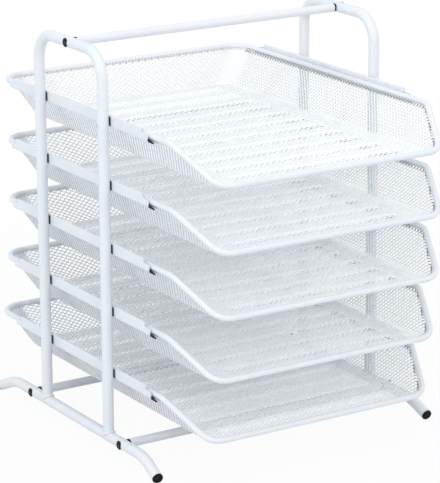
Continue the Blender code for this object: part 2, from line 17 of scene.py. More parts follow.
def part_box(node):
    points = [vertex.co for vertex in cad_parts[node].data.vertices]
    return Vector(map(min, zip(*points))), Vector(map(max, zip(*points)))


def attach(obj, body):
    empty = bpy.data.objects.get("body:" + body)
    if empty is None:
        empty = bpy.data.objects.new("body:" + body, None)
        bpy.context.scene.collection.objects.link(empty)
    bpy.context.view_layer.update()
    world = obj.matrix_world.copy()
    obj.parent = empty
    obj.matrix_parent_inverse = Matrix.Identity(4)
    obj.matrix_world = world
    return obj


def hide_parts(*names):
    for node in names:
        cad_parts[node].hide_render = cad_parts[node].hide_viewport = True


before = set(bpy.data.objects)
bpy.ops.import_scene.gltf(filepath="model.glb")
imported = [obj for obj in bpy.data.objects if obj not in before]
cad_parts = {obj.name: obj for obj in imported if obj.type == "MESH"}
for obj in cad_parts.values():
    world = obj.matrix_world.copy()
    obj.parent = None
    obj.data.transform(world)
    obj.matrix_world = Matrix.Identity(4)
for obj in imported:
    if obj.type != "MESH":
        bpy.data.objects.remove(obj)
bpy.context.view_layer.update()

LOG = logging.getLogger("letter_rack")
FRAME_BODY = "frame"
MM = 0.001

# The rack, as its sub-assemblies share it.
TIERS = 5
SEAT_GAP = 0.3
FRAME_X = 145.0
UPRIGHT_SPACING = 115.0

# How finely round forms are drawn, and the limits that the drawing uses: the angle of a corner that counts as
# straight, the share of y from which a direction counts as running along y, and the angle of a sharp edge.
ROUND_STEPS = 36
BEND_STEPS = 14
EDGE_STEPS = 5
DOME_STEPS = 18
LIP_STEPS = 4
HEAD_STEPS = 9
NO_TURN = 1e-4
CLOSE_AXIS = 0.7
SMOOTH_ANGLE = math.radians(35.0)

# Noise of the finishes, and the places of a Mix node's colours among its inputs and outputs.
PATCH_DETAIL = 3.0
GRAIN_DETAIL = 1.0
NOISE_ROUGHNESS = 0.55
WHITE = (1.0, 1.0, 1.0)
MIX_FIRST, MIX_SECOND, MIX_RESULT = 6, 7, 2

Array = np.ndarray
Colour = tuple[float, float, float]
Place = tuple[float, float, float]
Span = tuple[float, float]


class Named(Enum):
    """A choice whose name is part of the pieces' names."""

    @property
    def word(self) -> str:
        """Name as the pieces spell it."""
        return self.name.lower()


class Side(Named):
    """The two sides of the rack, by the sign of x."""

    LEFT = -1
    RIGHT = 1


class End(Named):
    """The two ends of a base tube, by the sign of y."""

    FRONT = -1
    REAR = 1


class BarPlace(Named):
    """The three crossbars, numbered from the top and then from the front."""

    TOP = 1
    BASE_FRONT = 2
    BASE_REAR = 3


class Slot(Enum):
    """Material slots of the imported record."""

    COAT = "white_powder_coat"
    MESH = "white_mesh"
    PLASTIC = "black_plastic"
    BOLT = "black_bolt"


class Mark(Enum):
    """Numbers that a pan's mesh carries at each point for its finish, by attribute name."""

    # Where the painted shade under the rim falls, and how strong it is.
    PAST = "past_crimp"
    WEIGHT = "crimp_weight"
    TURN = "strand_turn"
    # Share of painted shade on a strand.
    LEAN = "strand_lean"


def node_box(node: str) -> tuple[Array, Array]:
    """Lowest and highest corner of a CAD node in millimetres."""
    low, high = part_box(node)
    return np.array(low) / MM, np.array(high) / MM


def node_middle(node: str) -> Array:
    """Middle of a CAD node's box in millimetres."""
    low, high = node_box(node)
    return (low + high) / 2


def unit(vectors: Array) -> Array:
    """Vectors at length one, with zero vectors left as they are."""
    length = np.linalg.norm(vectors, axis=-1, keepdims=True)
    return vectors / np.where(length > 0, length, 1.0)


def ramp(value: Array, low: float, high: float) -> Array:
    """Smooth step from 0 at low to 1 at high: 3t^2 - 2t^3 of the share t between them."""
    share = np.clip((value - low) / (high - low), 0.0, 1.0)
    return share * share * (3.0 - 2.0 * share)


def turn_angles(steps: int = ROUND_STEPS) -> Array:
    """Evenly spaced angles once round."""
    return np.linspace(0.0, 2 * math.pi, steps, endpoint=False)


@dataclass
class Surface:
    """Points in millimetres and four-cornered faces; a triangle repeats its last corner."""

    points: Array
    faces: Array

    def joined(self, other: "Surface") -> "Surface":
        """One surface made of this one and another."""
        faces = np.concatenate((self.faces, other.faces + len(self.points)))
        return Surface(np.concatenate((self.points, other.points)), faces)

    def outward(self) -> "Surface":
        """The same closed surface with its faces turned outwards.

        The sum of each face's corner . (edge x edge) is six times the volume inside, and is below zero
        where the faces point inwards. A triangle that is turned over still repeats its last corner.

        Returns:
            The turned surface, or this one where it faces outwards already.
        """
        first, second, third, fourth = (self.points[self.faces[:, corner]] for corner in range(4))
        volume = np.einsum("ij,ij->", first, np.cross(second, third) + np.cross(third, fourth))
        if volume >= 0:
            return self
        triangle = (self.faces[:, 2] == self.faces[:, 3])[:, None]
        faces = np.where(triangle, self.faces[:, [2, 1, 0, 0]], self.faces[:, [3, 2, 1, 0]])
        return Surface(self.points, faces)

    def placed(self, origin: Array, direction: Sequence[float]) -> "Surface":
        """The surface with its own z axis laid along a direction.

        A point becomes origin + x * across + y * onward + z * direction, on three square axes.

        Args:
            origin: where the surface's own origin goes.
            direction: where its z axis points.

        Returns:
            The moved surface.
        """
        axis = unit(np.asarray(direction, float))
        helper = (0.0, 1.0, 0.0) if abs(axis[1]) < CLOSE_AXIS else (1.0, 0.0, 0.0)
        across = unit(np.cross(helper, axis))
        axes = np.stack((across, np.cross(axis, across), axis))
        return Surface(self.points @ axes + origin, self.faces)


def grid_faces(index: Array, close_rows: bool) -> Array:
    """Faces between the neighbours of a grid of point numbers whose columns close in a ring.

    Args:
        index: point numbers by row and column.
        close_rows: whether the last row joins the first.

    Returns:
        Faces, where one that loses a side at a pole repeats its last corner.
    """
    if close_rows:
        index = np.vstack((index, index[:1]))
    index = np.hstack((index, index[:, :1]))
    corners = [index[:-1, :-1], index[1:, :-1], index[1:, 1:], index[:-1, 1:]]
    faces = np.stack(corners, axis=-1).reshape(-1, 4)
    top_pole = (faces[:, 0] == faces[:, 3])[:, None]
    low_pole = (faces[:, 1] == faces[:, 2])[:, None]
    faces = np.where(top_pole, faces[:, [0, 1, 2, 2]], faces)
    return np.where(low_pole, faces[:, [0, 1, 3, 3]], faces)


def compact(points: Array, faces: Array) -> Surface:
    """A surface without the points that no face uses."""
    used, numbers = np.unique(faces, return_inverse=True)
    return Surface(points[used], numbers.reshape(faces.shape))


def from_rings(rings: Array, close_rows: bool = False) -> Surface:
    """A closed surface through rings of points.

    Rings that aren't joined in a loop end in a cap: a fan from the middle of the first and last ring.

    Args:
        rings: points by ring and place in the ring.
        close_rows: whether the last ring joins the first.

    Returns:
        The surface, facing outwards.
    """
    if not close_rows:
        middles = np.broadcast_to(rings[[0, -1]].mean(axis=1, keepdims=True), (2, *rings.shape[1:]))
        rings = np.concatenate((middles[:1], rings, middles[1:]))
    index = np.arange(rings[..., 0].size).reshape(rings.shape[:2])
    if not close_rows:
        index[[0, -1]] = index[[0, -1], :1]
    return compact(rings.reshape(-1, 3), grid_faces(index, close_rows)).outward()


def circle(radius: float) -> Array:
    """Profile points of a circle: (r cos a, r sin a)."""
    angle = turn_angles()
    return radius * np.stack((np.cos(angle), np.sin(angle)), axis=-1)


def turned(radii: Sequence[float], heights: Sequence[float]) -> Surface:
    """A closed body of rings about z: point = (r cos a, r sin a, h) for each ring's r and h.

    Args:
        radii: radius of each ring.
        heights: height of each ring.

    Returns:
        The surface.
    """
    outlines = np.asarray(radii, float)[:, None, None] * circle(1.0)
    levels = np.broadcast_to(np.asarray(heights, float)[:, None, None], (*outlines.shape[:2], 1))
    return from_rings(np.concatenate((outlines, levels), axis=-1))


def rounded_path(
    corners: Sequence[Sequence[float]], reaches: Sequence[float], steps: int = BEND_STEPS
) -> Array:
    """Points along straight runs with round corners.

    A corner's arc starts and ends at its reach from the corner, so its radius is reach / tan(turn / 2).
    A corner that doesn't turn gets evenly spaced points.

    Args:
        corners: corner points, with the path's ends as the first and the last.
        reaches: how far from its corner each rounding starts.
        steps: faces around each rounding.

    Returns:
        Points by row.
    """
    places = np.asarray(corners, float)
    rows = [places[:1]]
    share = np.linspace(0.0, 1.0, steps + 1)[:, None]
    for before, corner, after, reach in zip(places, places[1:], places[2:], reaches[1:]):
        along, onward = unit(corner - before), unit(after - corner)
        turn = math.acos(float(np.clip(along @ onward, -1.0, 1.0)))
        start = corner - along * reach
        if turn < NO_TURN:
            rows.append(start + along * (2 * reach * share))
            continue
        radius = reach / math.tan(turn / 2)
        inward = unit(onward - along * (along @ onward))
        bulge = inward * radius * (1 - np.cos(turn * share))
        rows.append(start + bulge + along * radius * np.sin(turn * share))
    return np.concatenate((*rows, places[-1:]))


def swept_rings(path: Array, profile: Array, level: Sequence[float], closed: bool = False) -> Array:
    """Rings of a profile carried along a path.

    Ring point = path + aside * profile x + upward * profile y. Aside is square to the path and to level,
    and upward is square to both.

    Args:
        path: points by row.
        profile: x and y of the profile's points.
        level: direction that stays square to aside.
        closed: whether the path is a loop.

    Returns:
        Points by ring and place in the ring.
    """
    if closed:
        heading = unit(np.roll(path, -1, axis=0) - np.roll(path, 1, axis=0))
    else:
        heading = unit(np.gradient(path, axis=0))
    aside = unit(np.cross(heading, level))
    upward = np.cross(aside, heading)
    return path[:, None] + aside[:, None] * profile[None, :, :1] + upward[:, None] * profile[None, :, 1:]


def rounded_slab(low: Sequence[float], high: Sequence[float], radius: float) -> Surface:
    """A block with every edge rounded.

    Rings run along y. Each is a rectangle of x and z with round corners, and towards both ends it shrinks
    by radius * (1 - cos a) while y moves by radius * sin a.

    Args:
        low: lowest corner.
        high: highest corner.
        radius: radius of the edges.

    Returns:
        The surface.
    """
    low, high = np.asarray(low, float), np.asarray(high, float)
    middle, half = (low + high) / 2, (high - low) / 2
    bend = np.linspace(0.0, math.pi / 2, EDGE_STEPS)
    by_sine, by_cosine = radius * (1 - np.sin(bend)), radius * (1 - np.cos(bend))
    inset = np.concatenate((by_sine, by_cosine))
    along = np.concatenate((by_cosine - half[1], half[1] - by_sine))
    angle = (bend[None] + np.arange(4)[:, None] * math.pi / 2).ravel()
    way = np.stack((np.cos(angle), np.sin(angle)), axis=-1)
    corner = np.sign(np.repeat(way[EDGE_STEPS // 2::EDGE_STEPS], EDGE_STEPS, axis=0))
    core = corner * (half[[0, 2]] - radius)
    outline = core[None] + way[None] * (radius - inset)[:, None, None]
    rings = np.empty((len(along), len(angle), 3))
    rings[..., [0, 2]] = middle[[0, 2]] + outline
    rings[..., 1] = middle[1] + along[:, None]
    return from_rings(rings)


def write_mesh(name: str, surface: Surface, smooth: bool) -> bpy.types.Mesh:
    """A mesh in metres from a surface in millimetres.

    Args:
        name: name of the mesh.
        surface: points and faces.
        smooth: whether faces that meet at a slight angle are shaded as one.

    Returns:
        The mesh.
    """
    mesh = bpy.data.meshes.new(name)
    keep = np.ones(surface.faces.shape, bool)
    keep[:, 3] = surface.faces[:, 2] != surface.faces[:, 3]
    corners = surface.faces[keep]
    sizes = keep.sum(axis=1)
    starts = np.cumsum(sizes) - sizes
    mesh.vertices.add(len(surface.points))
    mesh.vertices.foreach_set("co", (surface.points * MM).astype(np.float32).ravel())
    mesh.loops.add(len(corners))
    mesh.loops.foreach_set("vertex_index", corners.astype(np.int32))
    mesh.polygons.add(len(sizes))
    mesh.polygons.foreach_set("loop_start", starts.astype(np.int32))
    mesh.update(calc_edges=True)
    mesh.validate()
    if smooth:
        mesh.shade_smooth()
        mesh.set_sharp_from_angle(angle=SMOOTH_ANGLE)
    else:
        mesh.shade_flat()
    return mesh


def add_object(name: str, data: bpy.types.ID) -> bpy.types.Object:
    """A new object of the scene.

    Args:
        name: name of the object.
        data: the mesh, lamp or camera that it shows.

    Returns:
        The object.
    """
    made = bpy.data.objects.new(name, data)
    bpy.context.scene.collection.objects.link(made)
    return made


class Value:
    """A shader socket that takes part in Python arithmetic, each operator adding one Math node."""

    def __init__(self, graph: "Graph", socket: bpy.types.NodeSocket) -> None:
        """Keep the socket and the graph that it belongs to."""
        self.graph = graph
        self.socket = socket

    def math(self, operation: str, first: "Value | float", second: "Value | float") -> "Value":
        """Result of one Math node."""
        return self.graph.node("ShaderNodeMath", {"operation": operation}, {0: first, 1: second})

    def __add__(self, other: "Value | float") -> "Value":
        """Sum."""
        return self.math("ADD", self, other)

    def __radd__(self, other: float) -> "Value":
        """Sum with a number in front."""
        return self.math("ADD", other, self)

    def __sub__(self, other: "Value | float") -> "Value":
        """Difference."""
        return self.math("SUBTRACT", self, other)

    def __rsub__(self, other: float) -> "Value":
        """Difference from a number."""
        return self.math("SUBTRACT", other, self)

    def __mul__(self, other: "Value | float") -> "Value":
        """Product."""
        return self.math("MULTIPLY", self, other)

    def __rmul__(self, other: float) -> "Value":
        """Product with a number in front."""
        return self.math("MULTIPLY", other, self)

    def __abs__(self) -> "Value":
        """Size without its sign."""
        return self.math("ABSOLUTE", self, 0.0)

    def clamped(self) -> "Value":
        """The value kept between 0 and 1."""
        return self.graph.node("ShaderNodeClamp", {}, {0: self})

    def stepped(self, low: float, high: float) -> "Value":
        """Smooth step of the value from 0 at low to 1 at high; low may be the larger."""
        settings = {"interpolation_type": "SMOOTHSTEP"}
        return self.graph.node("ShaderNodeMapRange", settings, {0: self, 1: low, 2: high, 3: 0.0, 4: 1.0})

    def swung(self, middle: float, swing: float) -> "Value":
        """A number about a middle, that rises by the whole swing as the value goes from 0 to 1."""
        return self * swing + (middle - swing / 2)


class Graph:
    """Node tree of one material or of the world."""

    def __init__(self, tree: bpy.types.NodeTree) -> None:
        """Start from an empty tree."""
        self.tree = tree
        tree.nodes.clear()

    def node(
        self,
        kind: str,
        settings: Mapping[str, object],
        inputs: Mapping[int | str, object],
        output: int | str = 0,
    ) -> Value:
        """Add a node.

        Args:
            kind: Blender's name of the node type.
            settings: the node's own options, set before its sockets.
            inputs: a value or a link for each named or numbered socket.
            output: which of its outputs is wanted.

        Returns:
            That output.
        """
        made = self.tree.nodes.new(kind)
        for name, setting in settings.items():
            setattr(made, name, setting)
        for key, given in inputs.items():
            if isinstance(given, Value):
                self.tree.links.new(given.socket, made.inputs[key])
            else:
                made.inputs[key].default_value = given
        return Value(self, made.outputs[output] if len(made.outputs) else None)

    def place(self) -> Value:
        """Object coordinates."""
        return self.node("ShaderNodeTexCoord", {}, {}, "Object")

    def number(self, mark: Mark) -> Value:
        """A number that the mesh carries at each point."""
        return self.node("ShaderNodeAttribute", {"attribute_name": mark.value}, {}, "Fac")

    def rays(self, *kinds: str) -> Value:
        """1 for rays of the given kinds, as the Light Path node names them, and 0 for others."""
        return sum(self.node("ShaderNodeLightPath", {}, {}, kind) for kind in kinds).clamped()

    def noise(self, place: Value, size: float, detail: float) -> Value:
        """Soft noise whose patches are about size millimetres across."""
        inputs = {"Vector": place, "Scale": 1.0 / (size * MM), "Detail": detail, "Roughness": NOISE_ROUGHNESS}
        return self.node("ShaderNodeTexNoise", {"noise_dimensions": "3D"}, inputs, "Fac")

    def blend(self, share: Value, first: "Colour | Value", second: "Colour | Value") -> Value:
        """Colour between two, by a share from 0 to 1."""
        inputs = {0: share, MIX_FIRST: opaque(first), MIX_SECOND: opaque(second)}
        return self.node("ShaderNodeMix", {"data_type": "RGBA"}, inputs, MIX_RESULT)

    def bump(self, height: Value, depth: float) -> Value:
        """Normal of a relief that is depth millimetres high where height is 1."""
        inputs = {"Height": height, "Distance": depth * MM, "Strength": 1.0}
        return self.node("ShaderNodeBump", {}, inputs, "Normal")

    def principled(self, inputs: Mapping[int | str, object]) -> None:
        """Principled shader that feeds the material's output."""
        shader = self.node("ShaderNodeBsdfPrincipled", {}, inputs)
        self.node("ShaderNodeOutputMaterial", {}, {"Surface": shader})


def opaque(colour: "Colour | Value") -> "tuple[float, ...] | Value":
    """A colour with full alpha, or a link as it is."""
    return colour if isinstance(colour, Value) else (*colour, 1.0)


def new_material(name: str) -> tuple[bpy.types.Material, Graph]:
    """An empty node material.

    Args:
        name: name of the material.

    Returns:
        The material and its graph.
    """
    made = bpy.data.materials.new(name)
    made.use_nodes = True
    return made, Graph(made.node_tree)


@dataclass(frozen=True)
class Wear:
    """How much a noise wears a finish: nothing where it is below low, and a whole share above high."""

    low: float
    high: float
    share: float = 1.0

    def of(self, noise: Value) -> Value:
        """The wear that a noise gives."""
        return noise.stepped(self.low, self.high) * self.share


@dataclass(frozen=True)
class Finish:
    """A finish with large soft patches and a fine grain, which both wear it to a second tone."""

    name: str
    slot: Slot
    colour: Colour
    worn_colour: Colour
    patch_size: float
    patch_wear: Wear
    grain_size: float
    grain_wear: Wear
    relief_depth: float
    roughness: float
    roughness_swing: float
    specular: float

    def material(self) -> bpy.types.Material:
        """Build the material.

        Returns:
            The material.
        """
        made, graph = new_material(self.name)
        place = graph.place()
        patch = graph.noise(place, self.patch_size, PATCH_DETAIL)
        grain = graph.noise(place, self.grain_size, GRAIN_DETAIL)
        graph.principled(self.sockets(graph, patch, grain))
        return made

    def sockets(self, graph: Graph, patch: Value, grain: Value) -> dict[str, object]:
        """What feeds the shader.

        Args:
            graph: the material's graph.
            patch: noise of the patches.
            grain: noise of the grain.

        Returns:
            A value or a link for each socket that is set.
        """
        worn = (self.patch_wear.of(patch) + self.grain_wear.of(grain)).clamped()
        return {
            "Base Color": graph.blend(worn, self.colour, self.worn_colour),
            "Roughness": self.gloss(patch, grain),
            "Normal": graph.bump(self.relief(graph, grain), self.relief_depth),
            "Specular IOR Level": self.specular,
        }

    def gloss(self, patch: Value, grain: Value) -> Value:
        """Roughness, which swings with the patches."""
        return patch.swung(self.roughness, self.roughness_swing)

    def relief(self, graph: Graph, grain: Value) -> Value:
        """Height of the relief, which is the grain's own."""
        return grain


@dataclass(frozen=True)
class PowderCoat(Finish):
    """White powder coat: orange peel, faint mottling and a gloss that varies with handling."""

    name: str = "white_powder_coat"
    slot: Slot = Slot.COAT
    colour: Colour = (0.768, 0.80, 0.834)
    worn_colour: Colour = (0.718, 0.757, 0.80)
    patch_size: float = 38.0
    patch_wear: Wear = Wear(0.42, 0.72, 0.45)
    grain_size: float = 1.1
    grain_wear: Wear = Wear(0.58, 0.8, 0.25)
    relief_depth: float = 0.035
    roughness: float = 0.34
    roughness_swing: float = 0.14
    specular: float = 0.45
    peel_size: float = 1.3
    peel_detail: float = 1.5

    def relief(self, graph: Graph, grain: Value) -> Value:
        """Height of the relief, which is orange peel."""
        return graph.noise(graph.place(), self.peel_size, self.peel_detail)


@dataclass(frozen=True)
class MeshCoat(Finish):
    """The same coat on expanded mesh, with painted shade on some strands and in the crimp under the rim."""

    name: str = "white_mesh"
    slot: Slot = Slot.MESH
    colour: Colour = (0.952, 0.964, 0.972)
    worn_colour: Colour = (0.918, 0.934, 0.946)
    patch_size: float = 30.0
    patch_wear: Wear = Wear(0.4, 0.75, 0.5)
    grain_size: float = 0.7
    grain_wear: Wear = Wear(0.55, 0.8, 0.4)
    relief_depth: float = 0.03
    roughness: float = 0.42
    roughness_swing: float = 0.16
    specular: float = 0.4
    # Painted shade: the darker tone of strands on the floor and walls, where shade falls.
    painted_shade_colour: Colour = (0.52, 0.56, 0.60)
    # Painted shade under the rim wire: a dark band in the crimp, greyer between the knots.
    rim_shade_colour: Colour = (0.13, 0.137, 0.142)
    crimp_roughness: float = 0.3
    crimp_soft: float = 1.0
    rim_shade_between: float = 0.35
    knot_span: Span = (0.35, 0.65)

    def sockets(self, graph: Graph, patch: Value, grain: Value) -> dict[str, object]:
        """What feeds the shader, with painted shade on the strands and painted shade in the crimp under the
        rim, darkest at the knots.

        Args:
            graph: the material's graph.
            patch: noise of the patches.
            grain: noise of the grain.

        Returns:
            A value or a link for each socket that is set.
        """
        plain = super().sockets(graph, patch, grain)
        # Painted shade on the strands, by each point's share.
        coat = graph.blend(graph.number(Mark.LEAN), plain["Base Color"], self.painted_shade_colour)
        # Painted shade under the rim: a dark band, darkest at the knots, weighted by side.
        knot = abs(graph.number(Mark.TURN) * 2.0 - 1.0).stepped(*self.knot_span)
        dark = knot * (1.0 - self.rim_shade_between) + self.rim_shade_between
        inside = graph.number(Mark.PAST).stepped(0.0, -self.crimp_soft)
        crimp = inside * dark * graph.number(Mark.WEIGHT)
        return plain | {
            "Base Color": graph.blend(crimp, coat, self.rim_shade_colour),
            "Roughness": plain["Roughness"] + crimp * self.crimp_roughness,
        }


@dataclass(frozen=True)
class BlackMoulding(Finish):
    """Black moulded plastic with a fine spark-eroded grain."""

    name: str = "black_plastic"
    slot: Slot = Slot.PLASTIC
    colour: Colour = (0.008, 0.008, 0.009)
    worn_colour: Colour = (0.022, 0.022, 0.024)
    patch_size: float = 6.0
    patch_wear: Wear = Wear(0.45, 0.75, 0.7)
    grain_size: float = 0.45
    grain_wear: Wear = Wear(0.6, 0.8, 0.3)
    relief_depth: float = 0.01
    roughness: float = 0.15
    roughness_swing: float = 0.1
    specular: float = 0.12


@dataclass(frozen=True)
class BlackenedSteel(Finish):
    """Black-coated bolt steel, glossy, with patches that are rubbed bright. Its grain wears nothing."""

    name: str = "black_bolt"
    slot: Slot = Slot.BOLT
    colour: Colour = (0.007, 0.007, 0.008)
    worn_colour: Colour = (0.025, 0.025, 0.028)
    patch_size: float = 2.4
    patch_wear: Wear = Wear(0.5, 0.78)
    grain_size: float = 0.35
    grain_wear: Wear = Wear(0.0, 1.0, 0.0)
    relief_depth: float = 0.02
    roughness: float = 0.1
    roughness_swing: float = 0.12
    specular: float = 0.22
    rubbed_gloss: float = 0.06
    metallic: float = 0.2
    metallic_swing: float = 0.3

    def gloss(self, patch: Value, grain: Value) -> Value:
        """Roughness, which rises with the grain and falls where the coat is rubbed."""
        return self.roughness + grain * self.roughness_swing - self.patch_wear.of(patch) * self.rubbed_gloss

    def sockets(self, graph: Graph, patch: Value, grain: Value) -> dict[str, object]:
        """What feeds the shader, with bare metal where the coat is rubbed."""
        metal = self.patch_wear.of(patch).swung(self.metallic, self.metallic_swing)
        return super().sockets(graph, patch, grain) | {"Metallic": metal}


@dataclass(frozen=True)
class FloorPaper:
    """White studio paper that reads as the backdrop, but takes a soft shadow, deepest behind the rack.

    Its lengths are in metres, apart from the size of its flecks.
    """

    name: str = "floor_paper"
    colour: Colour = (0.72, 0.745, 0.775)
    fleck_colour: Colour = (0.69, 0.72, 0.75)
    fleck_size: float = 3.0
    glow: float = 0.94
    shadow_reach: float = 0.45
    shadow_end: float = 1.1
    deep_glow: float = 0.6
    deep_x: Span = (-0.03, 0.195)
    deep_y: Span = (-0.06, 0.23)
    deep_edge: float = 0.03

    def material(self) -> bpy.types.Material:
        """Build the material.

        Returns:
            The material.
        """
        made, graph = new_material(self.name)
        place = graph.place()
        fleck = graph.noise(place, self.fleck_size, PATCH_DETAIL)
        tone = graph.blend(fleck, self.colour, self.fleck_colour)
        paper = graph.node("ShaderNodeBsdfDiffuse", {}, {0: tone})
        white = graph.node("ShaderNodeEmission", {}, {0: opaque(WHITE), 1: 1.0})
        seen = graph.rays("Is Camera Ray", "Is Glossy Ray", "Is Transmission Ray")
        away = graph.node("ShaderNodeVectorMath", {"operation": "LENGTH"}, {0: place}, "Value")
        far = away.stepped(self.shadow_reach, self.shadow_end) * (1.0 - self.glow) + self.glow
        deep = self.within(graph, place, "X", self.deep_x) * self.within(graph, place, "Y", self.deep_y)
        share = seen * (far - deep * (self.glow - self.deep_glow))
        surface = graph.node("ShaderNodeMixShader", {}, {0: share, 1: paper, 2: white})
        graph.node("ShaderNodeOutputMaterial", {}, {"Surface": surface})
        return made

    def within(self, graph: Graph, place: Value, axis: str, span: Span) -> Value:
        """1 inside a span along the X or Y axis, falling softly to 0 at its ends."""
        along, edge = graph.node("ShaderNodeSeparateXYZ", {}, {0: place}, axis), self.deep_edge
        return along.stepped(span[0], span[0] + edge) * along.stepped(span[1], span[1] - edge)


COAT = PowderCoat()
MESH = MeshCoat()
PLASTIC = BlackMoulding()
# Painted shade: a dark slate strip put in the shadowed crevice between each upright and its rail.
CREVICE_SHADE = BlackMoulding(name="crevice_shade_strip", colour=(0.07, 0.105, 0.125), worn_colour=(0.10, 0.14, 0.16))
BOLT = BlackenedSteel()


class Wardrobe:
    """Every finish's material, made once."""

    def __init__(self, *finishes: Finish) -> None:
        """Build the materials of some finishes."""
        self.materials = {finish: finish.material() for finish in finishes}

    def dress(
        self,
        name: str,
        surface: Surface,
        finish: Finish,
        body: str,
        stands_for: str | None = None,
        smooth: bool = True,
        marks: Mapping[Mark, Array] | None = None,
    ) -> None:
        """Make a finished piece.

        Args:
            name: name of the piece.
            surface: its shape.
            finish: what it is coated with or made of.
            body: the CAD body that it rides on.
            stands_for: the CAD node that it replaces, if any.
            smooth: whether it is shaded smooth.
            marks: a number for each point, for each mark that its finish reads.
        """
        mesh = write_mesh(name, surface, smooth)
        for mark, numbers in (marks or {}).items():
            layer = mesh.attributes.new(mark.value, "FLOAT", "POINT")
            layer.data.foreach_set("value", numbers.astype(np.float32))
        mesh.materials.append(self.materials[finish])
        piece = add_object(name, mesh)
        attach(piece, body)
        if stands_for:
            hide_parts(stands_for)
        LOG.info("%s: %d faces on %s", name, len(surface.faces), body)


@dataclass
class SideFrame:
    """One bent-tube side: hoop, base tube, weld beads and foot caps."""

    side: Side
    frame_x: float = FRAME_X
    tube_radius: float = 4.99
    upright_spacing: float = UPRIGHT_SPACING
    hoop_bend: float = 25.0
    cope_height: float = 9.0
    cope_sink: float = 0.2
    bead_radius: float = 1.1
    bead_ring: float = 5.2
    bead_saddle: float = 5.7
    foot_start: float = 108.0
    foot_bend_radius: float = 60.0
    foot_bend_angle: float = math.radians(24.0)
    foot_splay: float = math.radians(10.0)
    foot_straight: float = 14.3
    cap_radius: float = 4.98
    cap_collar: float = 1.2
    cap_dome: float = 2.4
    cap_lip: float = 0.3
    cap_mouth: float = 0.78
    cap_dish: float = 1.9
    cap_dish_slope: float = 1.4
    cap_seat_inset: float = 0.6

    def __post_init__(self) -> None:
        """Take the frame's place from its nodes."""
        self.y = node_middle(self.side.word + "_hoop")[1]
        self.x = self.side.value * self.frame_x
        self.base_z = node_middle(BarPlace.BASE_FRONT.word + "_crossbar")[2]
        self.top_z = node_middle(BarPlace.TOP.word + "_crossbar")[2]

    def hoop(self) -> Surface:
        """Circle carried up one upright, over the top and down the other.

        The end rings are coped: z = base + sqrt(r^2 - dx^2), the base tube's own top, less a little sink.

        Returns:
            The tube.
        """
        front, rear = self.y - self.upright_spacing / 2, self.y + self.upright_spacing / 2
        foot = self.base_z + self.cope_height
        turns = ((front, foot), (front, self.top_z), (rear, self.top_z), (rear, foot))
        path = rounded_path([(self.x, *turn) for turn in turns], (0.0, self.hoop_bend, self.hoop_bend, 0.0))
        rings = swept_rings(path, circle(self.tube_radius), (1.0, 0.0, 0.0))
        ends = rings[[0, -1]]
        rest = np.sqrt(np.maximum(self.tube_radius ** 2 - (ends[..., 0] - self.x) ** 2, 0.0))
        ends[..., 2] = self.base_z + rest - self.cope_sink
        return from_rings(np.concatenate((ends[:1], rings, ends[1:])))

    def bead(self, end: End) -> Surface:
        """Weld bead: a small circle carried round the saddle line where an upright meets the base tube.

        The line is (r cos a, r sin a, sqrt(s^2 - (r cos a)^2)) with s a little over r.

        Args:
            end: which upright.

        Returns:
            The bead.
        """
        angle = turn_angles(2 * ROUND_STEPS)
        across = self.bead_ring * np.cos(angle)
        path = np.stack((
            self.x + across,
            self.y + end.value * self.upright_spacing / 2 + self.bead_ring * np.sin(angle),
            self.base_z + np.sqrt(self.bead_saddle ** 2 - across ** 2),
        ), axis=-1)
        rings = swept_rings(path, circle(self.bead_radius), (0.0, 0.0, 1.0), closed=True)
        return from_rings(rings, close_rows=True)

    def foot_line(self, end: End) -> tuple[Array, Array]:
        """Where a foot's tube ends: onward, down and a little outwards.

        Args:
            end: which foot.

        Returns:
            The middle of the tube's end, and the way that it points.
        """
        bend, angle = self.foot_bend_radius, self.foot_bend_angle
        run = self.foot_start + bend * math.sin(angle) + self.foot_straight * math.cos(angle)
        fall = bend * (1 - math.cos(angle)) + self.foot_straight * math.sin(angle)
        lean = np.array((self.side.value * math.sin(self.foot_splay), 0.0, -math.cos(self.foot_splay)))
        tip = np.array((self.x, self.y + end.value * run, self.base_z)) + lean * fall
        return tip, np.array((0.0, end.value * math.cos(angle), 0.0)) + lean * math.sin(angle)

    def base_tube(self) -> Surface:
        """Circle carried from one foot to the other, level between two gentle bends.

        Returns:
            The tube.
        """
        reach = self.foot_bend_radius * math.tan(self.foot_bend_angle / 2)
        bend_y = self.foot_start + reach
        corners = [
            self.foot_line(End.FRONT)[0], (self.x, self.y - bend_y, self.base_z),
            (self.x, self.y + bend_y, self.base_z), self.foot_line(End.REAR)[0],
        ]
        path = rounded_path(corners, (0.0, reach, reach, 0.0))
        return from_rings(swept_rings(path, circle(self.tube_radius), (1.0, 0.0, 0.0)))

    def foot_cap(self, end: End) -> Surface:
        """Low-domed cap with a dished middle, turned about the tube's end.

        Inside the mouth's share of the radius a cone falls to the dish's flat floor. Nothing goes below
        the ground.

        Args:
            end: which foot.

        Returns:
            The cap, seated on its tube.
        """
        tip, way = self.foot_line(end)
        bend = np.linspace(0.0, math.pi / 2, DOME_STEPS)
        lip = np.linspace(0.0, math.pi / 2, LIP_STEPS)
        inward = (self.cap_mouth - np.sin(bend)) * self.cap_radius
        mouth = self.cap_dome * math.sqrt(1 - self.cap_mouth ** 2)
        dish = mouth - np.minimum(self.cap_dish_slope * inward, self.cap_dish)
        radii = np.concatenate((
            self.cap_radius * np.sin(bend),
            self.cap_radius - self.cap_lip * (1 - np.cos(lip)),
            [self.tube_radius - self.cap_seat_inset],
        ))
        heights = np.concatenate((
            self.cap_collar + np.where(inward > 0, dish, self.cap_dome * np.cos(bend)),
            self.cap_lip * (1 - np.sin(lip)),
            [0.0],
        ))
        cap = turned(radii, heights).placed(tip + way * SEAT_GAP, way)
        cap.points[:, 2] = np.maximum(cap.points[:, 2], 0.0)
        return cap

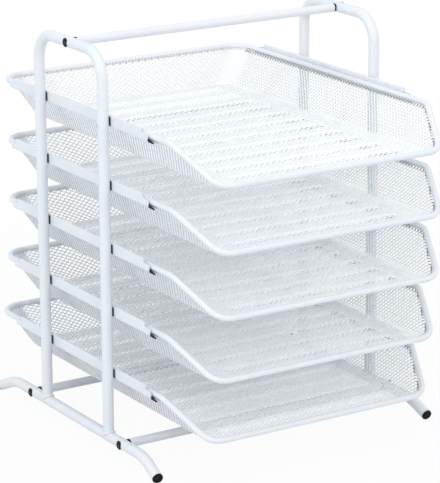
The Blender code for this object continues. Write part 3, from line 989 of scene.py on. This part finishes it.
    def dress(self, wardrobe: Wardrobe) -> None:
        """Make this side's pieces.

        Args:
            wardrobe: what makes the finished pieces.
        """
        word = self.side.word
        wardrobe.dress(f"{word}_hoop_tube", self.hoop(), COAT, FRAME_BODY, f"{word}_hoop")
        wardrobe.dress(f"{word}_base_rail", self.base_tube(), COAT, FRAME_BODY, f"{word}_base_tube")
        for end in End:
            wardrobe.dress(f"{word}_{end.word}_weld", self.bead(end), COAT, FRAME_BODY)
            cap = f"{word}_{end.word}_foot_cap"
            wardrobe.dress(cap + "_dome", self.foot_cap(end), PLASTIC, FRAME_BODY, cap)


@dataclass
class Crossbar:
    """A bar between the side frames, with a saddle washer and a button-head bolt at each end."""

    place: BarPlace
    radius: float = 4.0
    bevel: float = 0.25
    stretch: float = 0.25
    side_tube_x: float = FRAME_X
    side_tube_radius: float = 5.0
    washer_radius: float = 3.9
    washer_hole: float = 2.3
    washer_edge: float = 0.3
    washer_reach: float = 1.8
    head_radius: float = 4.2
    head_height: float = 2.2
    head_edge: float = 0.6
    head_sink: float = 1.2
    head_bevel: float = 0.2
    socket_radius: float = 1.6
    socket_depth: float = 1.0
    socket_mouth: float = 1.12
    socket_floor: float = 0.6
    socket_dip: float = 0.15
    socket_bevel: float = 0.05

    def __post_init__(self) -> None:
        """Take the bar's place and length from its node."""
        low, high = node_box(self.place.word + "_crossbar")
        self.middle = (low + high) / 2
        self.half_length = (high[0] - low[0]) / 2

    def bar(self) -> Surface:
        """Rod turned about x, with bevelled ends close to the washers.

        Returns:
            The bar.
        """
        half = self.half_length + self.stretch
        length = 2 * half
        radii = (self.radius - self.bevel, self.radius, self.radius, self.radius - self.bevel)
        heights = (0.0, self.bevel, length - self.bevel, length)
        return turned(radii, heights).placed(self.middle - (half, 0.0, 0.0), (1.0, 0.0, 0.0))

    def rings(self, side: Side, along: Array, radius: Array) -> Array:
        """Rings about the bar's axis: point = (along, y + r cos a, z + r sin a), mirrored for the left."""
        y, z = radius * np.cos(turn_angles()), radius * np.sin(turn_angles())
        return np.stack((side.value * along, y + self.middle[1], z + self.middle[2]), axis=-1)

    def washer(self, side: Side) -> Surface:
        """Ring against the bar's end, hollowed to the side tube.

        At z off the bolt's axis the tube's face stands at X - sqrt(R^2 - z^2), which the outer rings follow.

        Args:
            side: which end of the bar.

        Returns:
            The washer.
        """
        angle = turn_angles()
        level = np.zeros_like(angle)
        seat = self.half_length + SEAT_GAP
        hole, outer = self.washer_hole, self.washer_radius
        radius = np.array((hole, outer - self.washer_edge, outer, outer, hole))[:, None] + level
        clear = self.side_tube_radius + SEAT_GAP
        saddle = self.side_tube_x - np.sqrt(clear ** 2 - (radius * np.sin(angle)) ** 2) - seat
        depth = np.stack((level, level, level + self.washer_edge, saddle[3], saddle[4]))
        depth = np.minimum(depth, self.washer_reach)
        return from_rings(self.rings(side, seat + depth, radius), close_rows=True)

    def bolt(self, side: Side) -> Surface:
        """Domed head, let into the side tube, with a hexagon socket.

        Rings run from the socket's floor over the dome to the seat. The socket's outline is a / cos(b), with
        b the angle from the middle of the nearest flat. The dome is part of a ball through its edge and top.

        Args:
            side: which end of the bar.

        Returns:
            The bolt's head.
        """
        angle = turn_angles()
        level = np.zeros_like(angle)
        flat = np.mod(angle, math.pi / 3) - math.pi / 6
        hexagon = self.socket_radius * math.cos(math.pi / 6) / np.cos(flat)
        start = math.asin(self.socket_radius * self.socket_mouth / self.head_radius)
        reach = self.head_radius * np.sin(np.linspace(start, math.pi / 2, HEAD_STEPS))
        rise = self.head_height - self.head_edge
        ball = (self.head_radius ** 2 + rise ** 2) / (2 * rise)
        dome = self.head_height - ball + np.sqrt(ball ** 2 - reach ** 2)
        floor = dome[0] - self.socket_depth
        outer = np.concatenate((reach, (self.head_radius, self.head_radius - self.head_bevel)))
        radius = np.concatenate(([hexagon * self.socket_floor, hexagon, hexagon], outer[:, None] + level))
        socket = (floor - self.socket_dip, floor, dome[0] - self.socket_bevel)
        height = np.concatenate((socket, dome, (self.head_bevel, 0.0)))[:, None] + level
        seat = self.side_tube_x + self.side_tube_radius - self.head_sink + SEAT_GAP
        return from_rings(self.rings(side, seat + height, radius))

    def dress(self, wardrobe: Wardrobe) -> None:
        """Make the bar's pieces.

        Args:
            wardrobe: what makes the finished pieces.
        """
        word = self.place.word
        wardrobe.dress(f"{word}_bar", self.bar(), COAT, FRAME_BODY, f"{word}_crossbar")
        for side in Side:
            washer = f"{side.word}_{word}_washer"
            bolt = f"{side.word}_{word}_bolt"
            wardrobe.dress(washer + "_saddle", self.washer(side), PLASTIC, FRAME_BODY, washer)
            wardrobe.dress(bolt + "_head", self.bolt(side), BOLT, FRAME_BODY, bolt)


@dataclass
class Rail:
    """A folded rail of one tier and side, with its front bumper and dark strips of painted shade at the
    uprights.
    """

    side: Side
    tier: int
    sheet: float = 1.0
    height: float = 10.6
    ledge: float = 6.4
    hem_width: float = 2.3
    hem_lip: float = 4.8
    fold: float = 1.1
    hem_fold: float = 0.62
    web_sheets: float = 1.15
    ledge_sheets: float = 2.0
    cutback: float = 10.0
    nose_height: float = 6.5
    nose_round: float = 0.6
    # The bumper: a black wedge of painted shade at the channel's open front end.
    bumper_length: float = 9.0
    bumper_width: float = 1.3
    bumper_height: float = 2.9
    bumper_toe: float = 0.15
    edge_round: float = 0.25
    # Dark strip of painted shade at each upright.
    shade_strip_width: float = 8.4
    shade_strip_thickness: float = 0.26
    shade_strip_margin: float = 1.2
    upright_spacing: float = UPRIGHT_SPACING

    def __post_init__(self) -> None:
        """Take the rail's place from its node."""
        low, high = node_box(f"{self.side.word}_rail_{self.tier}")
        self.tongue_front, self.rear, self.bottom = low[1], high[1], low[2]
        self.front = self.tongue_front + self.bumper_length + SEAT_GAP
        self.tongue = self.ledge - self.bumper_width - SEAT_GAP
        self.outer = max(abs(low[0]), abs(high[0]))
        self.frame_y = node_middle(self.side.word + "_hoop")[1]

    def profile(self) -> Array:
        """Closed outline of the folded sheet: its middle line moved half a sheet to either side.

        Returns:
            Points by row for the right side, with z from the rail's underside.
        """
        half = self.sheet / 2
        web, top = self.outer - half, self.height - half
        hem, ledge = self.outer - self.hem_width + half, self.outer - self.ledge
        turns = (
            (ledge, half), (ledge + self.tongue, half), (web, half), (web, self.nose_height),
            (web, top), (hem, top), (hem, self.height - self.hem_lip),
        )
        reaches = (0.0, self.edge_round, self.fold, self.nose_round, self.hem_fold, self.hem_fold, 0.0)
        line = rounded_path([(x, 0.0, z) for x, z in turns], reaches)
        heading = unit(np.gradient(line, axis=0))
        normal = np.stack((heading[:, 2], 0.0 * heading[:, 1], -heading[:, 0]), axis=-1)
        return np.concatenate((line + normal * half, (line - normal * half)[::-1]))

    def rail(self) -> Surface:
        """The outline carried along y, cut back at both ends above the nose by a smooth step in z.

        At the front a step in x leaves the ledge's inner part standing forward as a tongue.

        Returns:
            The rail.
        """
        outline = self.profile()
        above_ledge = outline[:, 2] > self.ledge_sheets * self.sheet
        lip = (outline[:, 0] < self.outer - self.web_sheets * self.sheet) & above_ledge
        above = ramp(outline[:, 2], self.nose_height - self.nose_round, self.nose_height + self.nose_round)
        cut = self.cutback * np.where(lip, 1.0, above)
        step = self.outer - self.ledge + self.tongue
        inner = (1.0 - ramp(outline[:, 0], step - self.edge_round, step)) * ~above_ledge
        ends = np.stack((outline, outline))
        ends[0, :, 1] = self.front + cut - inner * (self.front - self.tongue_front)
        ends[1, :, 1] = self.rear - cut
        ends[..., 0] *= self.side.value
        ends[..., 2] += self.bottom
        count = len(outline)
        walls = grid_faces(np.arange(2 * count).reshape(2, count), close_rows=False)
        near = np.arange(count // 2 - 1)
        cap = np.stack((near, near + 1, count - 2 - near, count - 1 - near), axis=-1)
        faces = np.concatenate((walls, cap, cap[:, ::-1] + count))
        return Surface(ends.reshape(-1, 3), faces).outward()

    def slab(self, x: Span, y: Span, z: Span, radius: float) -> Surface:
        """Rounded slab given for the right side, with z above the rail's underside; mirrored for the left."""
        left, right = sorted(self.side.value * edge for edge in x)
        return rounded_slab((left, y[0], self.bottom + z[0]), (right, y[1], self.bottom + z[1]), radius)

    def bumper(self) -> Surface:
        """Black wedge ahead of the rail, beside the tongue: painted shade for the shadowed open end of the
        channel under the rim. Its height falls evenly towards the front.

        Returns:
            The bumper.
        """
        x = (self.outer - self.bumper_width, self.outer)
        front, rear = self.tongue_front, self.front - SEAT_GAP
        block = self.slab(x, (front, rear), (0.0, self.bumper_height), self.edge_round)
        share = (block.points[:, 1] - front) / (rear - front)
        height = block.points[:, 2] - self.bottom
        block.points[:, 2] = self.bottom + height * (self.bumper_toe + (1.0 - self.bumper_toe) * share)
        return block

    def spacer(self, end: End) -> Surface:
        """Thin dark strip between the rail's web and an upright: painted shade for the shadowed crevice
        between them.

        Args:
            end: which upright.

        Returns:
            The strip.
        """
        y = self.frame_y + end.value * self.upright_spacing / 2
        half, thick = self.shade_strip_width / 2, self.shade_strip_thickness
        x = self.outer + (SEAT_GAP - thick) / 2
        z = (self.shade_strip_margin, self.height - self.shade_strip_margin)
        return self.slab((x, x + thick), (y - half, y + half), z, thick / 3)

    def dress(self, wardrobe: Wardrobe) -> None:
        """Make the rail's pieces.

        Args:
            wardrobe: what makes the finished pieces.
        """
        word = self.side.word
        node = f"{word}_rail_{self.tier}"
        bumper = f"{word}_bumper_{self.tier}"
        wardrobe.dress(node + "_fold", self.rail(), COAT, FRAME_BODY, node)
        # Painted shade: a black wedge where the channel's open end lies in shadow.
        wardrobe.dress(bumper + "_end", self.bumper(), PLASTIC, FRAME_BODY, bumper)
        for end in End:
            # Painted shade in the crevices at the uprights.
            wardrobe.dress(f"{node}_{end.word}_spacer", self.spacer(end), CREVICE_SHADE, FRAME_BODY)


@dataclass
class Tray:
    """A sliding tray: rim wire and a pan of expanded mesh pressed over a floor with cross ribs."""

    tier: int
    rim_radius: float = 2.74
    rim_lift: float = 4.1
    rim_x: float = 135.0
    length: float = 355.3
    depth: float = 33.6
    slope_length: float = 47.0
    front_drop: float = 31.0
    wall_draft: float = 0.63
    rear_draft: float = 0.25
    rim_rear_corner: float = 22.0
    bend_reach: float = 5.0
    rim_front_corner: float = 13.0
    floor_rear_corner: float = 20.0
    floor_front_corner: float = 9.0
    sheet: float = 0.8
    edge_inset: float = 3.6
    edge_drop: float = 1.6
    rib_pitch: float = 29.0
    rib_width: float = 12.0
    rib_height: float = 1.6
    rib_taper: float = 3.0
    rib_end_margin: float = 22.0
    tuck: float = 1.5
    diamond_width: float = 5.8
    diamond_length: float = 4.3
    strand_width: float = 0.82
    strand_thickness: float = 0.5
    strand_tilt: float = math.radians(12.0)
    strand_offset: float = 0.04
    # Depth and weight of the painted shade under the rim: on the sides, the front slope and the rear.
    side_crimp: float = 5.0
    slope_crimp: float = 2.3
    rear_crimp: float = 3.2
    side_rim_shade: float = 0.8
    slope_rim_shade: float = 0.75
    rear_rim_shade: float = 0.4
    rib_grip: float = 2.0
    rib_spread: float = 0.5
    rear_spread: float = 0.16
    rear_fade: float = 25.0
    # Shares of painted shade on the strands: on the floor for one family, on each side wall, and at least
    # this much on any wall.
    floor_painted_shade: float = 0.2
    left_painted_shade: float = 1.0
    right_painted_shade: float = 0.5
    wall_painted_shade: float = 0.14

    def __post_init__(self) -> None:
        """Take the tray's place from its nodes and work out the floor's outline."""
        middle_y = node_middle(f"tray_{self.tier}_rim")[1]
        rail_low, _ = node_box(f"left_rail_{self.tier}")
        self.origin = np.array((0.0, middle_y + self.length / 2, rail_low[2] + self.rim_lift))
        fall = self.depth - self.edge_drop
        self.bend_y = self.slope_length - self.length
        self.front_x = self.rim_x - self.wall_draft * self.front_drop
        self.floor_x = self.rim_x - self.edge_inset - self.wall_draft * fall
        self.floor_rear = -self.edge_inset - self.rear_draft * fall
        self.floor_front = self.edge_inset + self.wall_draft * (fall - self.front_drop) - self.length

    @staticmethod
    def half_line(rear: Place, bend: Place, front: Place, reaches: Sequence[float]) -> Array:
        """Right half of a line round the tray: rear middle, three rounded corners, front middle."""
        corners = [(0.0, rear[1], rear[2]), rear, bend, front, (0.0, front[1], front[2])]
        return rounded_path(corners, (0.0, *reaches, 0.0), 2 * BEND_STEPS)

    def upper_line(self, inset: float = 0.0, drop: float = 0.0) -> Array:
        """Right half of the rim wire's axis, or of a line that runs inside and below it.

        Args:
            inset: how far inside the axis the line runs.
            drop: how far below the axis it runs.

        Returns:
            Points by row, in the tray's own frame.
        """
        side = self.rim_x - inset
        front = (self.front_x - inset, inset - self.length, -self.front_drop - drop)
        reaches = (self.rim_rear_corner - inset, self.bend_reach, self.rim_front_corner - inset)
        return self.half_line((side, -inset, -drop), (side, self.bend_y, -drop), front, reaches)

    def floor_line(self) -> Array:
        """Right half of the floor's outline."""
        turns = [(self.floor_x, y, -self.depth) for y in (self.floor_rear, self.bend_y, self.floor_front)]
        return self.half_line(*turns, (self.floor_rear_corner, self.bend_reach, self.floor_front_corner))

    def rim(self) -> Surface:
        """Circle carried round the whole rim: the right half and its mirror image.

        Returns:
            The wire.
        """
        right = self.upper_line()
        left = right[-2:0:-1] * (-1.0, 1.0, 1.0)
        path = np.concatenate((right, left))
        rings = swept_rings(path, circle(self.rim_radius), (0.0, 0.0, 1.0), closed=True)
        return from_rings(rings + self.origin, close_rows=True)

    def ribs(self, x: Array, y: Array) -> Array:
        """Height of the floor's cross ribs: a slope of rib_taper up to rib_height on every side of a rib.

        Args:
            x: places across the flat sheet.
            y: places along it.

        Returns:
            Heights above the floor.
        """
        front, rear = self.floor_front + self.rib_width, self.floor_rear - self.rib_width
        count = int((rear - front) // self.rib_pitch) + 1
        first = (front + rear) / 2 - (count - 1) * self.rib_pitch / 2
        number = np.clip(np.round((y - first) / self.rib_pitch), 0, count - 1)
        beside = self.rib_width / 2 - np.abs(y - first - number * self.rib_pitch)
        ahead = self.floor_x - self.rib_end_margin - np.abs(x)
        return self.rib_height * np.clip(np.minimum(beside, ahead) / self.rib_taper, 0.0, 1.0)

    def pressed(self, flat: Array) -> tuple[Array, Array, Array]:
        """Points of a flat sheet pressed into the pan.

        A point inside the floor's outline stays level. One outside, at distance d from its nearest place
        on the outline, goes d up the wall that rises there: floor + d * (edge - floor) / |edge - floor|.

        Args:
            flat: x and y on the flat sheet.

        Returns:
            Places, the sheet's normals, and how far below the wall's top each place is.
        """
        floor, edge = self.floor_line(), self.upper_line(self.edge_inset, self.edge_drop)
        mirror = np.where(flat[:, 0] < 0, -1.0, 1.0)
        right = np.stack((np.abs(flat[:, 0]), flat[:, 1]), axis=-1)
        run = np.diff(floor[:, :2], axis=0)
        away = right[:, None] - floor[None, :-1, :2]
        share = np.clip((away * run).sum(axis=-1) / (run * run).sum(axis=-1), 0.0, 1.0)
        off = away - share[..., None] * run
        nearest = np.argmin((off * off).sum(axis=-1), axis=1)
        row = np.arange(len(flat))
        step = share[row, nearest][:, None]
        off, run, away = off[row, nearest], run[nearest], away[row, nearest]
        outside = run[:, 0] * away[:, 1] - run[:, 1] * away[:, 0] > 0
        foot = floor[nearest] + step * (floor[nearest + 1] - floor[nearest])
        wall = edge[nearest] + step * (edge[nearest + 1] - edge[nearest]) - foot
        rise = unit(wall)
        tall = np.linalg.norm(wall, axis=-1) + self.tuck
        distance = np.linalg.norm(off, axis=-1) * np.where(outside, 1.0, -1.0)
        climbed = foot + rise * np.clip(distance, 0.0, tall)[:, None]
        level = np.column_stack((right, self.ribs(right[:, 0], right[:, 1]) - self.depth))
        place = np.where(outside[:, None], climbed, level)
        heading = unit(np.column_stack((run, 0.0 * run[:, 0])))
        normal = np.where(outside[:, None], unit(np.cross(heading, rise)), (0.0, 0.0, 1.0))
        place[:, 0] *= mirror
        normal[:, 0] *= mirror
        return place - normal * self.sheet / 2, normal, tall - distance

    @staticmethod
    def bar_faces(bar: Array, index: Array) -> Array:
        """Faces of four-sided bars: the sides of each, and an end where a run of bars starts or stops.

        Args:
            bar: whether there is a bar after each point of a strand but its last.
            index: point numbers by strand, point and corner.

        Returns:
            Faces by row.
        """
        onward = np.roll(index, -1, axis=2)
        sides = np.stack((index[:, :-1], onward[:, :-1], onward[:, 1:], index[:, 1:]), axis=-1)
        none = np.zeros_like(bar[:, :1])
        before = np.concatenate((none, bar), axis=1)
        after = np.concatenate((bar, none), axis=1)
        starts, stops = index[after & ~before][:, ::-1], index[before & ~after]
        return np.concatenate((sides[bar].reshape(-1, 4), starts, stops))

    def strands(self, lean: int) -> tuple[Surface, dict[Mark, Array]]:
        """All strands of the mesh that lean one way, as four-sided bars.

        On the flat sheet strand k passes the points x = width * (k + lean * n / 2), y = length * n / 2.
        The press flattens strands on the ribs and the rear wall, so they are wider there by a share.
        Bars are dropped past the rim, and the point just past it is drawn back onto it.

        Args:
            lean: 1 for strands that lean to the right, -1 for those that lean to the left.

        Returns:
            The bars, and the numbers that their finish reads at each point.
        """
        reach = self.rim_x + self.depth
        count = int((self.length + 2 * self.depth) / self.diamond_length)
        along = np.arange(-count, count + 1)
        lines = int(reach / self.diamond_width + count / 2) + 1
        line = np.arange(-lines, lines + 1)
        x = self.diamond_width * (line[:, None] + lean * along[None] / 2)
        y = (self.floor_front + self.floor_rear) / 2 + self.diamond_length * along[None] / 2 + 0.0 * x
        near = np.abs(x) < reach
        place, normal = np.zeros((2, *x.shape, 3))
        below = np.full(x.shape, -1.0)
        place[near], normal[near], below[near] = self.pressed(np.stack((x[near], y[near]), axis=-1))
        kept = below > 0
        bar = (kept[:, :-1] | kept[:, 1:]) & near[:, :-1] & near[:, 1:]
        step = unit(np.diff(place, axis=1)) * bar[..., None]
        none = np.zeros_like(step[:, :1])
        heading = unit(np.concatenate((none, step), axis=1) + np.concatenate((step, none), axis=1))
        across = np.cross(normal, heading)
        raised = np.minimum(self.rib_grip * self.ribs(x, y) / self.rib_height, 1.0)
        behind = ramp(y, self.floor_rear - self.rear_fade, self.floor_rear)
        width = self.strand_width * (1.0 + self.rib_spread * raised + self.rear_spread * behind)[..., None]
        tilt = lean * self.strand_tilt
        wide = (math.cos(tilt) * across + math.sin(tilt) * normal) * width / 2
        thick = (math.cos(tilt) * normal - math.sin(tilt) * across) * self.strand_thickness / 2
        centre = place + normal * (lean * self.strand_offset) + self.origin
        upper, lower = centre + thick, centre - thick
        corners = np.stack((upper + wide, upper - wide, lower - wide, lower + wide), axis=2)
        faces = self.bar_faces(bar, np.arange(corners[..., 0].size).reshape(corners.shape[:3]))
        used = np.unique(faces) // corners.shape[2]
        rear, slope = y > self.floor_rear, y < self.bend_y
        crimp = np.where(rear, self.rear_crimp, np.where(slope, self.slope_crimp, self.side_crimp))
        weight = np.where(slope, self.slope_rim_shade, self.side_rim_shade)
        marks = {
            Mark.PAST: below - crimp,
            Mark.WEIGHT: np.where(rear, self.rear_rim_shade, weight),
            Mark.TURN: np.where(slope, 1, along[None] % 2),
            Mark.LEAN: self.painted_shade_share(x, raised, behind, lean),
        }
        bars = compact(corners.reshape(-1, 3), faces).outward()
        return bars, {mark: numbers.ravel()[used] for mark, numbers in marks.items()}

    def painted_shade_share(self, x: Array, raised: Array, behind: Array, lean: int) -> Array:
        """How far strands take the painted shade: most on the left wall, none on the ribs.

        One family of strands takes more of it than the other, except on the rear wall.

        Args:
            x: places on the flat sheet.
            raised: how far each place is pressed on a rib, from 0 to 1.
            behind: how far each place belongs to the rear wall, from 0 to 1.
            lean: which way the strands lean.

        Returns:
            A share from 0 to 1 for each place.
        """
        # Painted shade: one family darker on the floor, the walls darker still.
        floor = self.floor_painted_shade * (1.0 - raised) * max(lean, 0)
        left = max(self.left_painted_shade * lean, self.wall_painted_shade)
        right = max(-self.right_painted_shade * lean, self.wall_painted_shade)
        share = np.where(x < -self.floor_x, left, np.where(x > self.floor_x, right, floor))
        return share + (self.wall_painted_shade - share) * behind

    def dress(self, wardrobe: Wardrobe) -> None:
        """Make the tray's pieces.

        Args:
            wardrobe: what makes the finished pieces.
        """
        body = f"tray_{self.tier}"
        wardrobe.dress(f"{body}_rim_wire", self.rim(), COAT, body, f"{body}_rim")
        right, right_marks = self.strands(1)
        left, left_marks = self.strands(-1)
        marks = {mark: np.concatenate((right_marks[mark], left_marks[mark])) for mark in Mark}
        mesh = right.joined(left)
        wardrobe.dress(f"{body}_mesh", mesh, MESH, body, f"{body}_pan", smooth=False, marks=marks)


@dataclass(frozen=True)
class Lamp:
    """Square soft lamp, by its place, the length of its side and its power in watts."""

    name: str
    place: Place
    size: float
    power: float

    def hang(self, aim: Place) -> None:
        """Hang the lamp out of the camera's sight.

        Args:
            aim: the point that it faces.
        """
        data = bpy.data.lights.new(self.name, "AREA")
        data.shape = "SQUARE"
        data.size = self.size
        data.energy = self.power
        lamp = add_object(self.name, data)
        lamp.location = self.place
        lamp.rotation_mode = "QUATERNION"
        lamp.rotation_quaternion = (Vector(aim) - Vector(self.place)).to_track_quat("-Z", "Y")
        lamp.visible_camera = False


@dataclass
class Studio:
    """White floor and backdrop, soft lamps and the camera, in metres apart from the camera's sensor."""

    focal_pixels: float = 2529.45
    image_height: float = 483.0
    sensor: float = 36.0
    yaw: float = math.radians(32.26)
    pitch: float = math.radians(16.36)
    roll: float = math.radians(-0.29)
    camera_place: Place = (-1.2058, -1.91255, 0.829021)
    clip_start: float = 0.1
    clip_end: float = 50.0
    floor_half: float = 9.0
    floor_drop: float = 0.0003
    shade_colour: Colour = (0.72, 0.77, 0.82)
    bright_side: Place = (-0.38, -0.86, 0.34)
    sky_span: Span = (-0.7, 0.8)
    sky_level: float = 1.075
    aim: Place = (0.0, 0.0, 0.2)
    lamps: tuple[Lamp, ...] = (
        Lamp("front", (-0.9, -2.6, 1.2), 0.12, 8.0),
        Lamp("left", (-3.0, -0.1, 1.0), 0.12, 8.0),
        Lamp("top", (-0.4, -0.6, 3.0), 1.2, 8.0),
    )

    def camera(self) -> None:
        """Camera at the photograph's angle, made from its three square axes."""
        east, north, flat = math.sin(self.yaw), math.cos(self.yaw), math.cos(self.pitch)
        forward = Vector((east * flat, north * flat, -math.sin(self.pitch)))
        level = Vector((north, -east, 0.0))
        upright = level.cross(forward)
        right = level * math.cos(self.roll) + upright * math.sin(self.roll)
        up = upright * math.cos(self.roll) - level * math.sin(self.roll)
        data = bpy.data.cameras.new("camera")
        data.sensor_width = self.sensor
        data.lens = self.focal_pixels * self.sensor / self.image_height
        data.clip_start, data.clip_end = self.clip_start, self.clip_end
        camera = add_object("camera", data)
        turn = Matrix((right, up, -forward)).transposed().to_4x4()
        camera.matrix_world = Matrix.Translation(self.camera_place) @ turn
        bpy.context.scene.camera = camera

    def floor(self) -> None:
        """Large sheet of white paper just under the feet."""
        ways = np.array(((-1, -1), (1, -1), (1, 1), (-1, 1)))
        corners = np.column_stack((ways * self.floor_half, np.full(len(ways), -self.floor_drop))) / MM
        mesh = write_mesh("floor", Surface(corners, np.array([[0, 1, 2, 3]])), smooth=False)
        mesh.materials.append(FloorPaper().material())
        floor = add_object("floor", mesh)

    def world(self) -> None:
        """White to the camera. To the rack a soft sky, brightest behind the camera, dimmer and cooler beyond.

        The sky's tint is a smooth step of the dot product of the direction and the bright side.
        """
        world = bpy.data.worlds.new("backdrop")
        world.use_nodes = True
        graph = Graph(world.node_tree)
        white = graph.node("ShaderNodeBackground", {}, {0: opaque(WHITE), 1: 1.0})
        ways = {0: graph.place(), 1: self.bright_side}
        near = graph.node("ShaderNodeVectorMath", {"operation": "DOT_PRODUCT"}, ways, "Value")
        tint = graph.blend(near.stepped(*self.sky_span), self.shade_colour, WHITE)
        sky = graph.node("ShaderNodeBackground", {}, {0: tint, 1: self.sky_level})
        share = graph.rays("Is Camera Ray", "Is Transmission Ray")
        surface = graph.node("ShaderNodeMixShader", {}, {0: share, 1: sky, 2: white})
        graph.node("ShaderNodeOutputWorld", {}, {"Surface": surface})
        bpy.context.scene.world = world

    def build(self) -> None:
        """Set the whole studio up."""
        bpy.context.scene.view_settings.view_transform = "Standard"
        self.camera()
        self.floor()
        self.world()
        for lamp in self.lamps:
            lamp.hang(self.aim)


def main() -> None:
    """Dress every sub-assembly of the rack and set the studio up."""
    logging.basicConfig(level=logging.INFO, format="%(name)s: %(message)s")
    wardrobe = Wardrobe(COAT, MESH, PLASTIC, CREVICE_SHADE, BOLT)
    for side in Side:
        SideFrame(side).dress(wardrobe)
    for place in BarPlace:
        Crossbar(place).dress(wardrobe)
    for tier in range(1, TIERS + 1):
        for side in Side:
            Rail(side, tier).dress(wardrobe)
        Tray(tier).dress(wardrobe)
    Studio().build()


if __name__ == "__main__":
    main()
